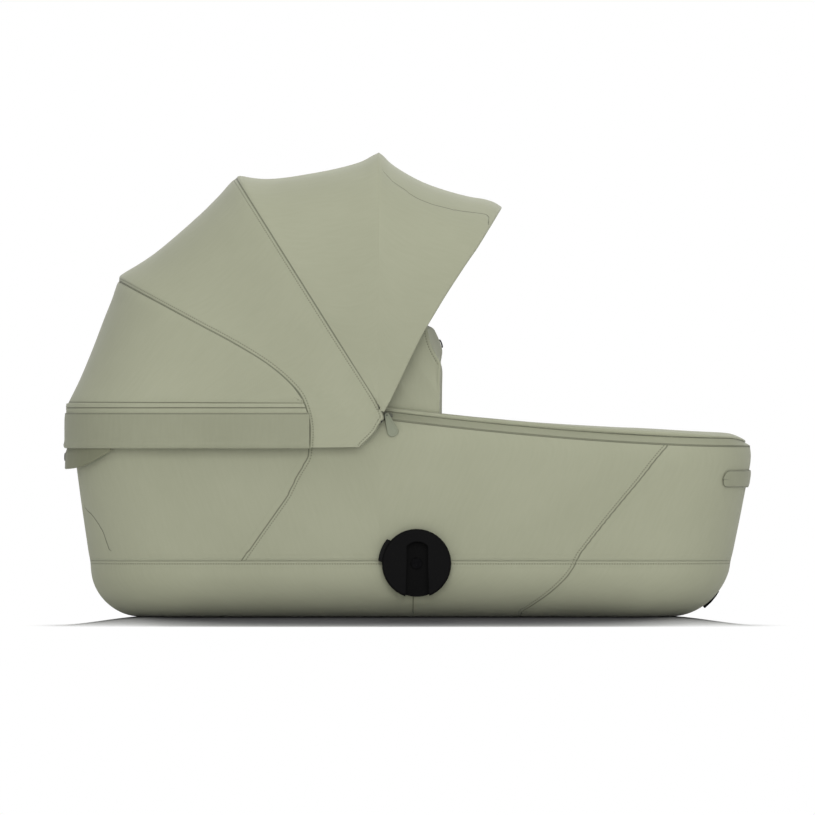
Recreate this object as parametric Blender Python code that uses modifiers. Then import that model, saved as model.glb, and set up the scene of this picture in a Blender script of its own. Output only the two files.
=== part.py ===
"""A carrycot: a moulded tub in a fabric cover, a folding canopy on four bows, an apron
with a wind flap, and a round adapter on each side that a pushchair frame slides into.
Lengths are in metres. +X is towards the foot end, +Z is up, and the near side is -Y."""
import math

import bmesh
import bpy
from mathutils import Matrix, Vector

# Clearances
GAP = 0.0003             # between pieces that touch
PIN_GAP = 0.00015        # round a pin in its hole
OVERRUN = 0.004          # how far a cutter passes the face that it cuts

# Tub, outside of its fabric cover
TUB_HEAD_X = -0.3703     # head wall at the seam's height
TUB_FOOT_X = 0.3765      # foot wall at the seam's height
TUB_HALF_WIDTH = 0.188   # side wall at the seam's height
TUB_PLAN_CORNER = 0.100  # radius of the tub's corners, seen from above
SEAM_Z = 0.065           # seam between the lower and the upper cover
HEAD_LEAN_SHARE = 0.139
FOOT_LEAN_SHARE = 0.200
SIDE_LEAN_SHARE = 0.02
HEAD_BOTTOM_RADIUS = 0.050
FOOT_BOTTOM_RADIUS = 0.058
SIDE_BOTTOM_RADIUS = 0.052
SHOULDER_DROP = 0.0265   # the walls bend inwards above this depth below the rim
SHOULDER_RADIUS = 0.082

# Rim, which dips from the canopy's hinge to the foot end
RIM_HEAD_Z = 0.231
RIM_FOOT_Z = 0.1985
RIM_LEVEL_X = 0.391
RIM_DIP_POWER = 1.65

# Layers of the tub, from the outside in
COVER_THICKNESS = 0.0025
COVER_CLEARANCE = 0.0006
SHELL_THICKNESS = 0.0035
RIM_FRAME_RADIUS = 0.0042
RIM_FRAME_DROP = 0.012   # the shell ends this far below the rim
LINER_INSET = 0.0175     # foam and air lie between the shell and the liner
LINER_THICKNESS = 0.003
LINER_BEND_DROP = 0.016
LINER_DROP = 0.002

# Mattress, which lies inside the liner
MATTRESS_HEAD_INSET = 0.0673
MATTRESS_FOOT_INSET = 0.0795
MATTRESS_SIDE_INSET = 0.059
MATTRESS_CORNER = 0.046
MATTRESS_HEIGHT = 0.024
MATTRESS_BULGE = 0.012
MATTRESS_CROWN = 0.004
MATTRESS_SIDE_SHARES = ((0.0, 0.0), (0.16, 0.66), (0.5, 1.0), (0.84, 0.66), (1.0, -0.3))
MATTRESS_CROWN_SHARES = ((0.6, 0.3), (1.0, 0.62))

# Canopy: its hinge, and the angle and crown radius of each bow's cloth ridge
HINGE_X = -0.0335
HINGE_Z = 0.230
REAR_ANGLE, REAR_RADIUS = 151.5, 0.341
MID_REAR_ANGLE, MID_REAR_RADIUS = 119.5, 0.326
MID_FRONT_ANGLE, MID_FRONT_RADIUS = 90.0, 0.311
FRONT_ANGLE, FRONT_RADIUS = 60.0, 0.286
ARCH_POWER = 3.0         # a bow's arch lies between an ellipse, 2, and a rectangle
CANOPY_CLOTH = 0.0022
CANOPY_PAD = 0.0004      # room between the hinge pin's head and the cloth
REAR_SAG = 0.0035
MIDDLE_SAG = 0.0065
TOP_SAG = 0.012
FRONT_SAG = 0.0124
FAN_START = 0.010        # the top and front panels start this far from the hinge

# Bows and hinges
BOW_WIDTH = 0.008
BOW_THICKNESS = 0.002
BOW_SPACING = 0.0005     # between the bows' eyes along the pin
BOW_DROP = 0.0068        # a bow's crown lies this far below the ridge of the cloth
BOW_START = 0.0034       # a bow's strip starts this far from the pin's centre
FRONT_BOW_BACK = 0.0056  # the front bow lies this far behind the cloth's front edge
EYE_RADIUS = 0.0052
PIN_RADIUS = 0.0021
PIN_HEAD_RADIUS = 0.0042
PIN_HEAD = 0.0018
HINGE_PLATE = 0.0025
HINGE_PLATE_ANGLE = 225.0    # the plate runs down and back from the pin, behind the canopy's cloth
RIVET_RADIUS = 0.002
RIVET_HEAD_RADIUS = 0.0034
RIVET_HEAD = 0.0012
RIVET_REACH = 0.0395     # of the lower rivet from the pin
RIVET_PITCH = 0.0105

# Canopy skirt, its zip and the flap at the head end
SKIRT_HEAD_X = -0.3995
SKIRT_CORNER = 0.122
SKIRT_CLOTH = 0.0025
SKIRT_LOW_Z = 0.1967
SKIRT_TOP_Z = 0.2364
CANOPY_ZIP_INSET = 0.002
CANOPY_ZIP_TOP_Z = 0.2474
REAR_PANEL_INSET = 0.0035
SIDE_SEAM_X = -0.114     # the curved seam comes down to the skirt here
SIDE_SEAM_BEND_Z = 0.225
SIDE_SEAM_PEAK_Z = 0.271
SIDE_SEAM_REACH = 0.190  # where the curved seam meets the rear bow
SIDE_SEAM_SHARES = (0.3, 0.5, 0.75)
CORNER_DROP = 0.0326     # the canopy's front lower corner, down and back from the hinge
CORNER_BACK = 0.0222
CORNER_SHARES = ((1.0, 1.0), (0.46, 0.69), (0.19, 0.33), (0.0, 0.03))
REAR_FLAP_SIDE_INSET = 0.002
REAR_FLAP_LOW_Z = 0.1716
REAR_FLAP_FLAT_SHARE = 0.6
REAR_FLAP_INSET = 0.0030
REAR_FLAP_CLOTH = 0.002
TAG_HALF_WIDTH = 0.015
TAG_THICKNESS = 0.0012
REAR_TAG_LOW_Z = 0.181
REAR_TAG_HIGH_Z = 0.190

# Apron and its zip
ZIP_START_X = -0.0275    # the zip tape starts beside the hinge
ZIP_RISE = 0.0085
ZIP_LEAN = 0.005
ZIP_TAPE = 0.0015
APRON_EDGE_INSET = 0.0053
APRON_THICKNESS = 0.0024
APRON_CROWN = 0.0042
APRON_SHOULDER = 0.030
APRON_HEAD_X = 0.0365
APRON_TAIL_X = -0.0275
APRON_TAIL_OUTER_SHARE = 0.92
APRON_TAIL_INNER_SHARE = 0.84
APRON_ACROSS_SHARES = (0.0, 0.3, 0.6, 0.84, 0.92, 0.96, 0.985, 1.0)
APRON_ALONG_SHARES = (0.0, 0.16, 0.34, 0.52, 0.7, 0.84, 0.93, 0.975, 1.0)
SLIDER_START_X = -0.0275
SLIDER_LENGTH = 0.010
SLIDER_HEIGHT = 0.008
SLIDER_THICKNESS = 0.0034
PULL_LENGTH = 0.029
PULL_TOP_RADIUS = 0.003
PULL_END_RADIUS = 0.007
PULL_THICKNESS = 0.0018
PULL_TILT = 20.0
PULL_PIN_RADIUS = 0.0009

# Wind flap
FLAP_X = 0.0393
FLAP_TOP_Z = 0.339
FLAP_CORNER_Z = 0.2955
FLAP_LEAN = 0.0163
FLAP_THICKNESS = 0.0025
FLAP_LEAN_SHARES = ((0.0, 0.0), (0.55, 0.0), (0.70, -0.05), (0.86, 0.27), (0.96, 0.58), (1.0, 1.0))
FLAP_UP_SHARES = (0.0, 0.3, 0.55, 0.72, 0.86, 0.94, 1.0)
FLAP_ACROSS_SHARES = (0.0, 0.25, 0.5, 0.72, 0.86, 0.95, 1.0)
FLAP_INSET = 0.004       # the flap and the wings stand this far inside the apron's edge
WING_TOP_X = 0.0225
WING_TOP_Z = 0.338
WING_BACK_X = -0.0265
WING_ALONG_SHARES = (0.0, 0.35, 0.7, 0.85, 1.0)
FLAP_TAG_LOW_Z = 0.3135
FLAP_TAG_HIGH_Z = 0.3225

# Foot end
STRAP_LOW_Z = 0.1507
STRAP_HIGH_Z = 0.1700
STRAP_PROUD = 0.0018
STRAP_END_X = 0.3615
BUMPER_LOW_Z = 0.0122
BUMPER_HIGH_Z = 0.0298
BUMPER_HALF_WIDTH = 0.030
BUMPER_PROUD = 0.0040
BUMPER_SHARES = ((0.0, 1.0), (0.35, 0.78), (0.7, 0.55), (1.0, 0.3))

# Adapter on each side
HUB_X = 0.0102
HUB_Z = 0.0621
HUB_RADIUS = 0.0403
HUB_DEPTH = 0.010
HUB_EDGE = 0.002
PUCK_RADIUS = 0.038
SLOT_OFFSET_X = 0.0009
SLOT_WIDTH = 0.025
SLOT_FLARE = 0.0015
SLOT_SHOULDER_Z = 0.0823
SLOT_TOP_Z = 0.088
SCREW_RECESS_RADIUS = 0.0073
SCREW_RECESS_DEPTH = 0.002
SCREW_HEAD_RADIUS = 0.0060
SCREW_HEAD = 0.0026
SCREW_RADIUS = 0.0025
SCREW_SOCKET_RADIUS = 0.0025
SCREW_SOCKET_DEPTH = 0.0016
NUT_RADIUS = 0.0046
NUT_THICKNESS = 0.004
BUTTON_ANGLE = 158.0
BUTTON_TIP = 0.0446
BUTTON_ROOT = 0.033
BUTTON_HALF_WIDTH = 0.0136
BUTTON_THICKNESS = 0.005
BUTTON_CLEARANCE = 0.0004
BUTTON_TRAVEL = 0.004
BUTTON_POCKET = 0.022
SPRING_RADIUS = 0.0020
SPRING_WIRE = 0.0004
SPRING_TURNS = 3.5

# Mesh steps
SIDE_STEPS = 4
CORNER_STEPS = 5
BOTTOM_STEPS = 4
ARCH_STEPS = 14
PANEL_STEPS = 4
BOW_STEPS = 20
ROUND_STEPS = 40
SMALL_STEPS = 16
SPRING_STEPS = 10

COLLECTION = bpy.data.collections.new("carrycot")
CUTTERS = bpy.data.collections.new("cutters")

# Colours: red, green, blue, roughness and metallic value
FINISHES = {
    "sage_cloth": (0.36, 0.40, 0.29, 0.85, 0.0),
    "sage_band": (0.30, 0.33, 0.24, 0.85, 0.0),
    "liner_cloth": (0.44, 0.46, 0.40, 0.9, 0.0),
    "mattress_cloth": (0.75, 0.75, 0.70, 0.9, 0.0),
    "shell_plastic": (0.06, 0.06, 0.06, 0.5, 0.0),
    "black_plastic": (0.011, 0.011, 0.011, 0.35, 0.0),
    "black_tag": (0.01, 0.01, 0.01, 0.8, 0.0),
    "bow_plastic": (0.05, 0.05, 0.05, 0.45, 0.0),
    "rim_metal": (0.55, 0.56, 0.57, 0.35, 1.0),
    "steel": (0.35, 0.35, 0.36, 0.35, 1.0),
    "sage_rubber": (0.33, 0.37, 0.27, 0.5, 0.0),
}


def finish(name):
    """The material of that name, made once."""
    if name in bpy.data.materials:
        return bpy.data.materials[name]
    red, green, blue, roughness, metallic = FINISHES[name]
    made = bpy.data.materials.new(name)
    made.use_nodes = True
    shader = made.node_tree.nodes["Principled BSDF"]
    shader.inputs["Base Color"].default_value = (red, green, blue, 1.0)
    shader.inputs["Roughness"].default_value = roughness
    shader.inputs["Metallic"].default_value = metallic
    return made


def mix(low, high, share):
    return low + (high - low) * share


def curve_through(table, share):
    """Straight-line reading of a table of (share, value) pairs."""
    for (share_a, value_a), (share_b, value_b) in zip(table, table[1:]):
        if share <= share_b:
            return mix(value_a, value_b, (share - share_a) / (share_b - share_a))
    return table[-1][1]


def place(name, data, finish_name, origin=Vector((0, 0, 0))):
    """Object of a mesh given in world places, with its own origin."""
    piece = bpy.data.objects.new(name, data)
    if isinstance(data, bpy.types.Mesh):
        data.transform(Matrix.Translation(-Vector(origin)))
    piece.location = origin
    COLLECTION.objects.link(piece)
    data.materials.append(finish(finish_name))
    return piece


def cutter(name, mesh):
    """Guide object for a Boolean, kept out of the model."""
    guide = bpy.data.objects.new(name, mesh)
    guide.hide_render = True
    guide.display_type = "WIRE"
    CUTTERS.objects.link(guide)
    return guide


def combine(piece, guide, operation="DIFFERENCE"):
    step = piece.modifiers.new(guide.name, "BOOLEAN")
    step.operation = operation
    step.object = guide


def mesh_of(name, build):
    """Mesh made by a function that fills a bmesh."""
    cage = bmesh.new()
    build(cage)
    mesh = bpy.data.meshes.new(name)
    cage.to_mesh(mesh)
    cage.free()
    return mesh


def surface(name, rows, first_cap=False, last_cap=False):
    """Open skin through closed rings, each counter-clockwise from above, bottom ring first."""
    def build(cage):
        grid = [[cage.verts.new(point) for point in row] for row in rows]
        for low, high in zip(grid, grid[1:]):
            for index in range(len(low)):
                after = (index + 1) % len(low)
                cage.faces.new((low[index], low[after], high[after], high[index]))
        if first_cap:
            cage.faces.new(list(reversed(grid[0])))
        if last_cap:
            cage.faces.new(grid[-1])
    return mesh_of(name, build)


def sheet(name, outer, inner):
    """Closed sheet between two matching grids of points."""
    def build(cage):
        skins = [[[cage.verts.new(point) for point in row] for row in grid] for grid in (outer, inner)]
        rows = len(outer)
        columns = len(outer[0])
        for skin in skins:
            for row in range(rows - 1):
                for column in range(columns - 1):
                    cage.faces.new((skin[row][column], skin[row][column + 1],
                                    skin[row + 1][column + 1], skin[row + 1][column]))
        border = [(0, column) for column in range(columns)]
        border += [(row, columns - 1) for row in range(1, rows)]
        border += [(rows - 1, column) for column in range(columns - 2, -1, -1)]
        border += [(row, 0) for row in range(rows - 2, 0, -1)]
        for here, after in zip(border, border[1:] + border[:1]):
            cage.faces.new((skins[0][here[0]][here[1]], skins[0][after[0]][after[1]],
                            skins[1][after[0]][after[1]], skins[1][here[0]][here[1]]))
        bmesh.ops.recalc_face_normals(cage, faces=cage.faces)
    return mesh_of(name, build)


def thicken(piece, thickness):
    """Give an open skin its wall, inwards."""
    step = piece.modifiers.new("wall", "SOLIDIFY")
    step.thickness = thickness
    step.offset = -1
    step.use_even_offset = True


def flat_mesh(name, outlines, thickness):
    """Flat outline, and its holes, in the XY plane with its thickness centred on Z = 0."""
    outline_curve = bpy.data.curves.new(name, "CURVE")
    outline_curve.dimensions = "2D"
    outline_curve.fill_mode = "BOTH"
    outline_curve.extrude = thickness / 2
    for outline in outlines:
        spline = outline_curve.splines.new("POLY")
        spline.points.add(len(outline) - 1)
        for point, (x, y) in zip(spline.points, outline):
            point.co = (x, y, 0, 1)
        spline.use_cyclic_u = True
    carrier = bpy.data.objects.new(name, outline_curve)
    bpy.context.scene.collection.objects.link(carrier)
    mesh = bpy.data.meshes.new_from_object(carrier.evaluated_get(bpy.context.evaluated_depsgraph_get()))
    bpy.data.objects.remove(carrier)

    def build(cage):
        cage.from_mesh(mesh)
        bmesh.ops.remove_doubles(cage, verts=cage.verts, dist=GAP / 10)
        bmesh.ops.recalc_face_normals(cage, faces=cage.faces)
    return mesh_of(name, build)


def circle(radius, steps, centre=(0, 0)):
    return [(centre[0] + radius * math.cos(math.tau * step / steps),
             centre[1] + radius * math.sin(math.tau * step / steps)) for step in range(steps)]


def facing_side(x, y, z):
    """Turns a flat mesh so that its X stays, its Y goes up and its thickness goes across."""
    return Matrix.Translation((x, y, z)) @ Matrix.Rotation(math.radians(90), 4, "X")


def side_plate(name, outlines, side, inner, outer, x=0.0, z=0.0):
    """Flat piece facing sideways between two distances from the middle, outlines in x and z."""
    mesh = flat_mesh(name, outlines, outer - inner)
    mesh.transform(facing_side(x, side * (inner + outer) / 2, z))
    return mesh


def round_bar(name, radius, side, inner, outer, x, z, steps=ROUND_STEPS):
    """Cylinder lying across the carrycot between two distances from the middle."""
    def build(cage):
        bmesh.ops.create_cone(cage, cap_ends=True, segments=steps, radius1=radius, radius2=radius,
                              depth=outer - inner)
    mesh = mesh_of(name, build)
    mesh.transform(facing_side(x, side * (inner + outer) / 2, z))
    return mesh


# The tub's shape: rounded rectangles that change with height

COVER_LAYER = (0.0, 0.0, 0.0)
SHELL_INSET = COVER_THICKNESS + COVER_CLEARANCE
SHELL_LAYER = (SHELL_INSET, SHELL_INSET, SHELL_INSET)
LINER_LAYER = (LINER_INSET, SHELL_INSET + SHELL_THICKNESS + GAP, LINER_BEND_DROP)
FRAME_INSET = COVER_THICKNESS + COVER_CLEARANCE + RIM_FRAME_RADIUS


def rim_z(x):
    """Height of the rim, which dips towards the foot end."""
    share = (x - HINGE_X) / (RIM_LEVEL_X - HINGE_X)
    left = 1 - min(max(share, 0), 1)
    return mix(RIM_FOOT_Z, RIM_HEAD_Z, left ** RIM_DIP_POWER)


def bottom_inset(z, radius, layer):
    """How far a wall has curved in towards the floor at a height."""
    bend = radius - layer[2]
    rise = min(max(layer[1] + bend - z, 0), bend)
    return bend - math.sqrt(bend ** 2 - rise ** 2)


def shoulder_inset(x, z):
    """How far a wall has bent in near the rim."""
    rise = max(z - rim_z(x) + SHOULDER_DROP, 0)
    return rise ** 2 / (2 * SHOULDER_RADIUS)


def tub_extent(z, layer, more=0.0):
    """Head, foot, half width and corner radius of the tub's plan at a height."""
    up = z - SEAM_Z
    inset = layer[0] + more
    head = TUB_HEAD_X - HEAD_LEAN_SHARE * up + inset + bottom_inset(z, HEAD_BOTTOM_RADIUS, layer)
    foot = TUB_FOOT_X + FOOT_LEAN_SHARE * up - inset - bottom_inset(z, FOOT_BOTTOM_RADIUS, layer)
    side_inset = inset + bottom_inset(z, SIDE_BOTTOM_RADIUS, layer)
    half_width = TUB_HALF_WIDTH + SIDE_LEAN_SHARE * up - side_inset
    return head, foot, half_width, TUB_PLAN_CORNER - side_inset


def end_plan(start_x, end_x, half_width, corner, straight_steps=SIDE_STEPS):
    """One end from above: along the near side, round the end, back along the far side."""
    away = math.copysign(1, end_x - start_x)
    turn_x = end_x - away * corner
    near = [(mix(start_x, turn_x, step / straight_steps), -half_width) for step in range(straight_steps)]
    for step in range(CORNER_STEPS + 1):
        angle = math.radians(90) * step / CORNER_STEPS
        near.append((turn_x + away * corner * math.sin(angle), corner * (1 - math.cos(angle)) - half_width))
    return near + [(end_x, 0)] + [(x, -y) for x, y in reversed(near)]


def closed_plan(head, foot, half_width, corner):
    foot_half = end_plan(HINGE_X, foot, half_width, corner)
    head_half = end_plan(HINGE_X, head, half_width, corner)
    return foot_half + list(reversed(head_half))[1:-1]


def foot_plan(head, foot, half_width, corner):
    return end_plan(ZIP_START_X, foot, half_width, corner)


def tub_line(height_at, layer, more=0.0, plan=closed_plan):
    """Line round the tub at a height that may change with x."""
    level = height_at(HINGE_X)
    line = []
    for index, (x, y) in enumerate(plan(*tub_extent(level, layer, more))):
        z = height_at(x)
        x, y = plan(*tub_extent(z, layer, more + shoulder_inset(x, z)))[index]
        line.append(Vector((x, y, z)))
    return line


def level_at(z):
    return lambda x: z


def below_rim(drop):
    return lambda x: rim_z(x) - drop


def wall_share(share):
    """Height between the seam and the start of the shoulder."""
    return lambda x: mix(SEAM_Z, rim_z(x) - SHOULDER_DROP, share)


def bottom_levels(layer):
    bend = FOOT_BOTTOM_RADIUS - layer[2]
    return [layer[1] + bend * (1 - math.cos(math.radians(90) * step / BOTTOM_STEPS))
            for step in range(BOTTOM_STEPS + 1)]


def bottom_rows(layer):
    return [tub_line(level_at(z), layer) for z in bottom_levels(layer)]


def wall_y(z, layer=COVER_LAYER):
    """Distance of a side wall from the middle, near the hinge."""
    return tub_extent(z, layer, shoulder_inset(HINGE_X, z))[2]


def shell_wall_y(z):
    """Distance of the shell's outer face from the middle, near the hinge."""
    bend_z = RIM_HEAD_Z - SHOULDER_DROP
    top_z = RIM_HEAD_Z - RIM_FRAME_DROP
    share = max(z - bend_z, 0) / (top_z - bend_z)
    return mix(wall_y(min(z, bend_z), SHELL_LAYER), wall_y(top_z, SHELL_LAYER), share)


def tub_block(name, inset):
    """Closed block of the tub's outer shape, to cut what lies against it."""
    layer = (inset, inset, inset)
    rows = bottom_rows(layer)
    rows += [tub_line(level_at(SEAM_Z), layer), tub_line(wall_share(0.5), layer)]
    rows += [tub_line(wall_share(1.0), layer), tub_line(below_rim(RIM_FRAME_DROP), layer)]
    return surface(name, rows, first_cap=True, last_cap=True)


# Places that several pieces share
HUB_BACK = wall_y(HUB_Z + HUB_RADIUS) + GAP
HUB_FRONT = HUB_BACK + HUB_DEPTH
PUCK_BACK = wall_y(HUB_Z - PUCK_RADIUS, SHELL_LAYER) - OVERRUN
NUT_BACK = wall_y(HUB_Z, SHELL_LAYER) - SHELL_THICKNESS - GAP
PLATE_BACK = wall_y(RIM_HEAD_Z - SHOULDER_DROP) + GAP
PLATE_FRONT = PLATE_BACK + HINGE_PLATE
EYE_PITCH = BOW_THICKNESS + BOW_SPACING
PIN_HEAD_BACK = PLATE_FRONT + 4 * EYE_PITCH + BOW_SPACING
CANOPY_HALF_WIDTH = PIN_HEAD_BACK + PIN_HEAD + CANOPY_PAD + CANOPY_CLOTH
SKIRT_HALF_WIDTH = CANOPY_HALF_WIDTH + SKIRT_CLOTH
BOWS = (
    ("rear_bow", REAR_ANGLE, REAR_RADIUS, 0.0),
    ("mid_rear_bow", MID_REAR_ANGLE, MID_REAR_RADIUS, 0.0),
    ("mid_front_bow", MID_FRONT_ANGLE, MID_FRONT_RADIUS, 0.0),
    ("front_bow", FRONT_ANGLE, FRONT_RADIUS, FRONT_BOW_BACK),
)


def hub_direction(distance):
    """Place on the release button's line of travel, out from the hub's centre."""
    angle = math.radians(BUTTON_ANGLE)
    return HUB_X + distance * math.cos(angle), HUB_Z + distance * math.sin(angle)


def cut_sides(piece, name, make):
    """Cut a piece on both sides with the mesh that make(name, side) returns."""
    for side, word in ((1, "left"), (-1, "right")):
        guide_name = piece.name + "_" + name + "_" + word
        combine(piece, cutter(guide_name, make(guide_name, side)))


def hub_hole(name, side):
    return round_bar(name, PUCK_RADIUS + GAP, side, PUCK_BACK - OVERRUN, HUB_BACK + OVERRUN, HUB_X, HUB_Z)


def rivet_place(number):
    """Place of a rivet on the hinge plate, counted from the lower one."""
    turn = math.radians(HINGE_PLATE_ANGLE)
    reach = RIVET_REACH - number * RIVET_PITCH
    return HINGE_X + reach * math.cos(turn), HINGE_Z + reach * math.sin(turn)


def rivet_hole(number):
    def make(name, side):
        inner = PLATE_BACK - LINER_INSET + OVERRUN
        return round_bar(name, RIVET_RADIUS + PIN_GAP, side, inner, PLATE_FRONT + OVERRUN,
                         *rivet_place(number), SMALL_STEPS)
    return make


def screw_hole(name, side):
    return round_bar(name, SCREW_RADIUS + PIN_GAP, side, NUT_BACK - NUT_THICKNESS, HUB_FRONT,
                     HUB_X, HUB_Z, SMALL_STEPS)


def build_tub():
    cover_rows = bottom_rows(COVER_LAYER) + [tub_line(level_at(SEAM_Z - GAP / 2), COVER_LAYER)]
    lower = place("cover_lower", surface("cover_lower", cover_rows, first_cap=True), "sage_cloth")
    thicken(lower, COVER_THICKNESS)
    cut_sides(lower, "hub_hole", hub_hole)

    upper_rows = [tub_line(level_at(SEAM_Z + GAP / 2), COVER_LAYER)]
    upper_rows += [tub_line(wall_share(0.5), COVER_LAYER), tub_line(wall_share(1.0), COVER_LAYER)]
    upper_rows += [tub_line(below_rim(SHOULDER_DROP / 2), COVER_LAYER), tub_line(below_rim(0.0), COVER_LAYER)]
    upper = place("cover_upper", surface("cover_upper", upper_rows), "sage_cloth")
    thicken(upper, COVER_THICKNESS)
    cut_sides(upper, "hub_hole", hub_hole)

    shell_rows = bottom_rows(SHELL_LAYER) + [tub_line(level_at(SEAM_Z), SHELL_LAYER)]
    shell_rows += [tub_line(wall_share(0.5), SHELL_LAYER), tub_line(wall_share(1.0), SHELL_LAYER)]
    shell_rows += [tub_line(below_rim(RIM_FRAME_DROP), SHELL_LAYER)]
    shell = place("tub_shell", surface("tub_shell", shell_rows, first_cap=True), "shell_plastic")
    thicken(shell, SHELL_THICKNESS)
    cut_sides(shell, "screw_hole", screw_hole)
    for number in (0, 1):
        cut_sides(shell, "rivet_hole_%d" % number, rivet_hole(number))
        cut_sides(upper, "rivet_hole_%d" % number, rivet_hole(number))

    build_rim_frame()
    build_liner()
    build_mattress()


def build_rim_frame():
    """Round tube that lies on the shell's edge, inside the cover."""
    height = below_rim(RIM_FRAME_DROP - GAP - RIM_FRAME_RADIUS)
    line = tub_line(height, (0.0, 0.0, 0.0), FRAME_INSET)
    tube = bpy.data.curves.new("rim_frame", "CURVE")
    tube.dimensions = "3D"
    tube.bevel_depth = RIM_FRAME_RADIUS
    tube.bevel_resolution = 2
    spline = tube.splines.new("POLY")
    spline.points.add(len(line) - 1)
    for point, place_on_line in zip(spline.points, line):
        point.co = (*place_on_line, 1)
    spline.use_cyclic_u = True
    place("rim_frame", tube, "rim_metal")


def build_liner():
    """Padded tray that hangs inside the rim frame and rests on the shell's floor."""
    hang = FRAME_INSET + RIM_FRAME_RADIUS + GAP - LINER_INSET
    rows = bottom_rows(LINER_LAYER)
    rows += [tub_line(wall_share(0.4), LINER_LAYER), tub_line(wall_share(1.0), LINER_LAYER)]
    rows += [tub_line(below_rim(LINER_DROP), LINER_LAYER, hang)]
    liner = place("liner", surface("liner", rows, first_cap=True), "liner_cloth")
    thicken(liner, LINER_THICKNESS)


def build_mattress():
    """Flat foam pad with drawn-in sides and a low crown."""
    floor = LINER_LAYER[1] + LINER_THICKNESS + GAP
    head_x = TUB_HEAD_X + MATTRESS_HEAD_INSET
    foot_x = TUB_FOOT_X - MATTRESS_FOOT_INSET
    half_width = TUB_HALF_WIDTH - MATTRESS_SIDE_INSET
    rings = []
    for height_share, bulge_share in MATTRESS_SIDE_SHARES:
        grow = MATTRESS_BULGE * bulge_share
        rings.append((floor + MATTRESS_HEIGHT * height_share, grow))
    for height_share, inset_share in MATTRESS_CROWN_SHARES:
        z = floor + MATTRESS_HEIGHT + MATTRESS_CROWN * height_share
        rings.append((z, -half_width * inset_share))
    rows = []
    for z, grow in rings:
        corner = max(MATTRESS_CORNER + grow, MATTRESS_CORNER / 2)
        plan = closed_plan(head_x - grow, foot_x + grow, half_width + grow, corner)
        rows.append([Vector((x, y, z)) for x, y in plan])
    place("mattress", surface("mattress", rows, first_cap=True, last_cap=True), "mattress_cloth")


# The canopy's shape: superellipse arches that turn about the hinge

def radial(angle, reach, across=0.0, shift=0.0):
    """Place at a reach from the hinge along an angle, moved square to it by shift."""
    turn = math.radians(angle)
    return Vector((HINGE_X + reach * math.cos(turn) - shift * math.sin(turn), across,
                   HINGE_Z + reach * math.sin(turn) + shift * math.cos(turn)))


def arch_across(reach, radius, half_width):
    """Half width of an arch at a reach from the hinge."""
    return half_width * (1 - min(reach / radius, 1) ** ARCH_POWER) ** (1 / ARCH_POWER)


def arch_sweep(radius, half_width, start_reach, steps):
    """Reach and across of an arch from the near side, over the crown, to the far side."""
    first = math.asin((start_reach / radius) ** (ARCH_POWER / 2))
    pairs = []
    for step in range(steps + 1):
        sweep = mix(first, math.pi - first, step / steps)
        reach = radius * math.sin(sweep) ** (2 / ARCH_POWER)
        lean = math.cos(sweep)
        across = half_width * abs(lean) ** (2 / ARCH_POWER)
        pairs.append((reach, -math.copysign(across, lean)))
    return pairs


def cloth_edge(angle, radius, inset, shift, start_reach=FAN_START, steps=ARCH_STEPS + 2, foot_points=()):
    """Edge of a canopy panel along a bow, with the points of its two lower ends."""
    crown = radius - inset
    half_width = CANOPY_HALF_WIDTH - inset
    lower = []
    for x, z in foot_points:
        reach = math.hypot(x - HINGE_X, z - HINGE_Z)
        lower.append(Vector((x, -arch_across(reach, crown, half_width), z)))
    arch = [radial(angle, reach, across, shift) for reach, across in
            arch_sweep(crown, half_width, start_reach, steps)]
    return lower + arch + [Vector((point.x, -point.y, point.z)) for point in reversed(lower)]


def sagged(edge_a, edge_b, sag):
    """Grid between two edges, drawn in towards the hinge between them."""
    rows = []
    for row in range(PANEL_STEPS + 1):
        share = row / PANEL_STEPS
        line = []
        for point_a, point_b in zip(edge_a, edge_b):
            point = point_a.lerp(point_b, share)
            out = Vector((point.x - HINGE_X, 0, point.z - HINGE_Z))
            crown_share = 1 - min(abs(point.y) / CANOPY_HALF_WIDTH, 1) ** 2
            if out.length > FAN_START:
                point = point - out.normalized() * sag * 4 * share * (1 - share) * crown_share
            line.append(point)
        rows.append(line)
    return rows


def side_seam(shift):
    """Lower part of the curved side seam, from the skirt's bottom to the rear bow."""
    meet = radial(REAR_ANGLE, SIDE_SEAM_REACH)
    low = Vector((SIDE_SEAM_X, SIDE_SEAM_BEND_Z))
    peak = Vector((SIDE_SEAM_X, SIDE_SEAM_PEAK_Z))
    high = Vector((meet.x, meet.z))
    points = [(SIDE_SEAM_X, SKIRT_LOW_Z), (low.x, low.y)]
    for share in SIDE_SEAM_SHARES:
        point = low.lerp(peak, share).lerp(peak.lerp(high, share), share)
        points.append((point.x, point.y))
    return [(x + shift, z) for x, z in points]


def skirt_line(inset, z, start_x):
    """Line round the head end outside the tub."""
    plan = end_plan(start_x, SKIRT_HEAD_X + inset, SKIRT_HALF_WIDTH - inset, SKIRT_CORNER - inset)
    return [Vector((x, y, z)) for x, y in plan]


def skirt_band(name, inset, thickness, low_z, high_z, start_x, finish_name):
    outer = [skirt_line(inset, low_z, start_x), skirt_line(inset, high_z, start_x)]
    inner = [skirt_line(inset + thickness, low_z, start_x), skirt_line(inset + thickness, high_z, start_x)]
    return place(name, sheet(name, outer, inner), finish_name)


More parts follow.
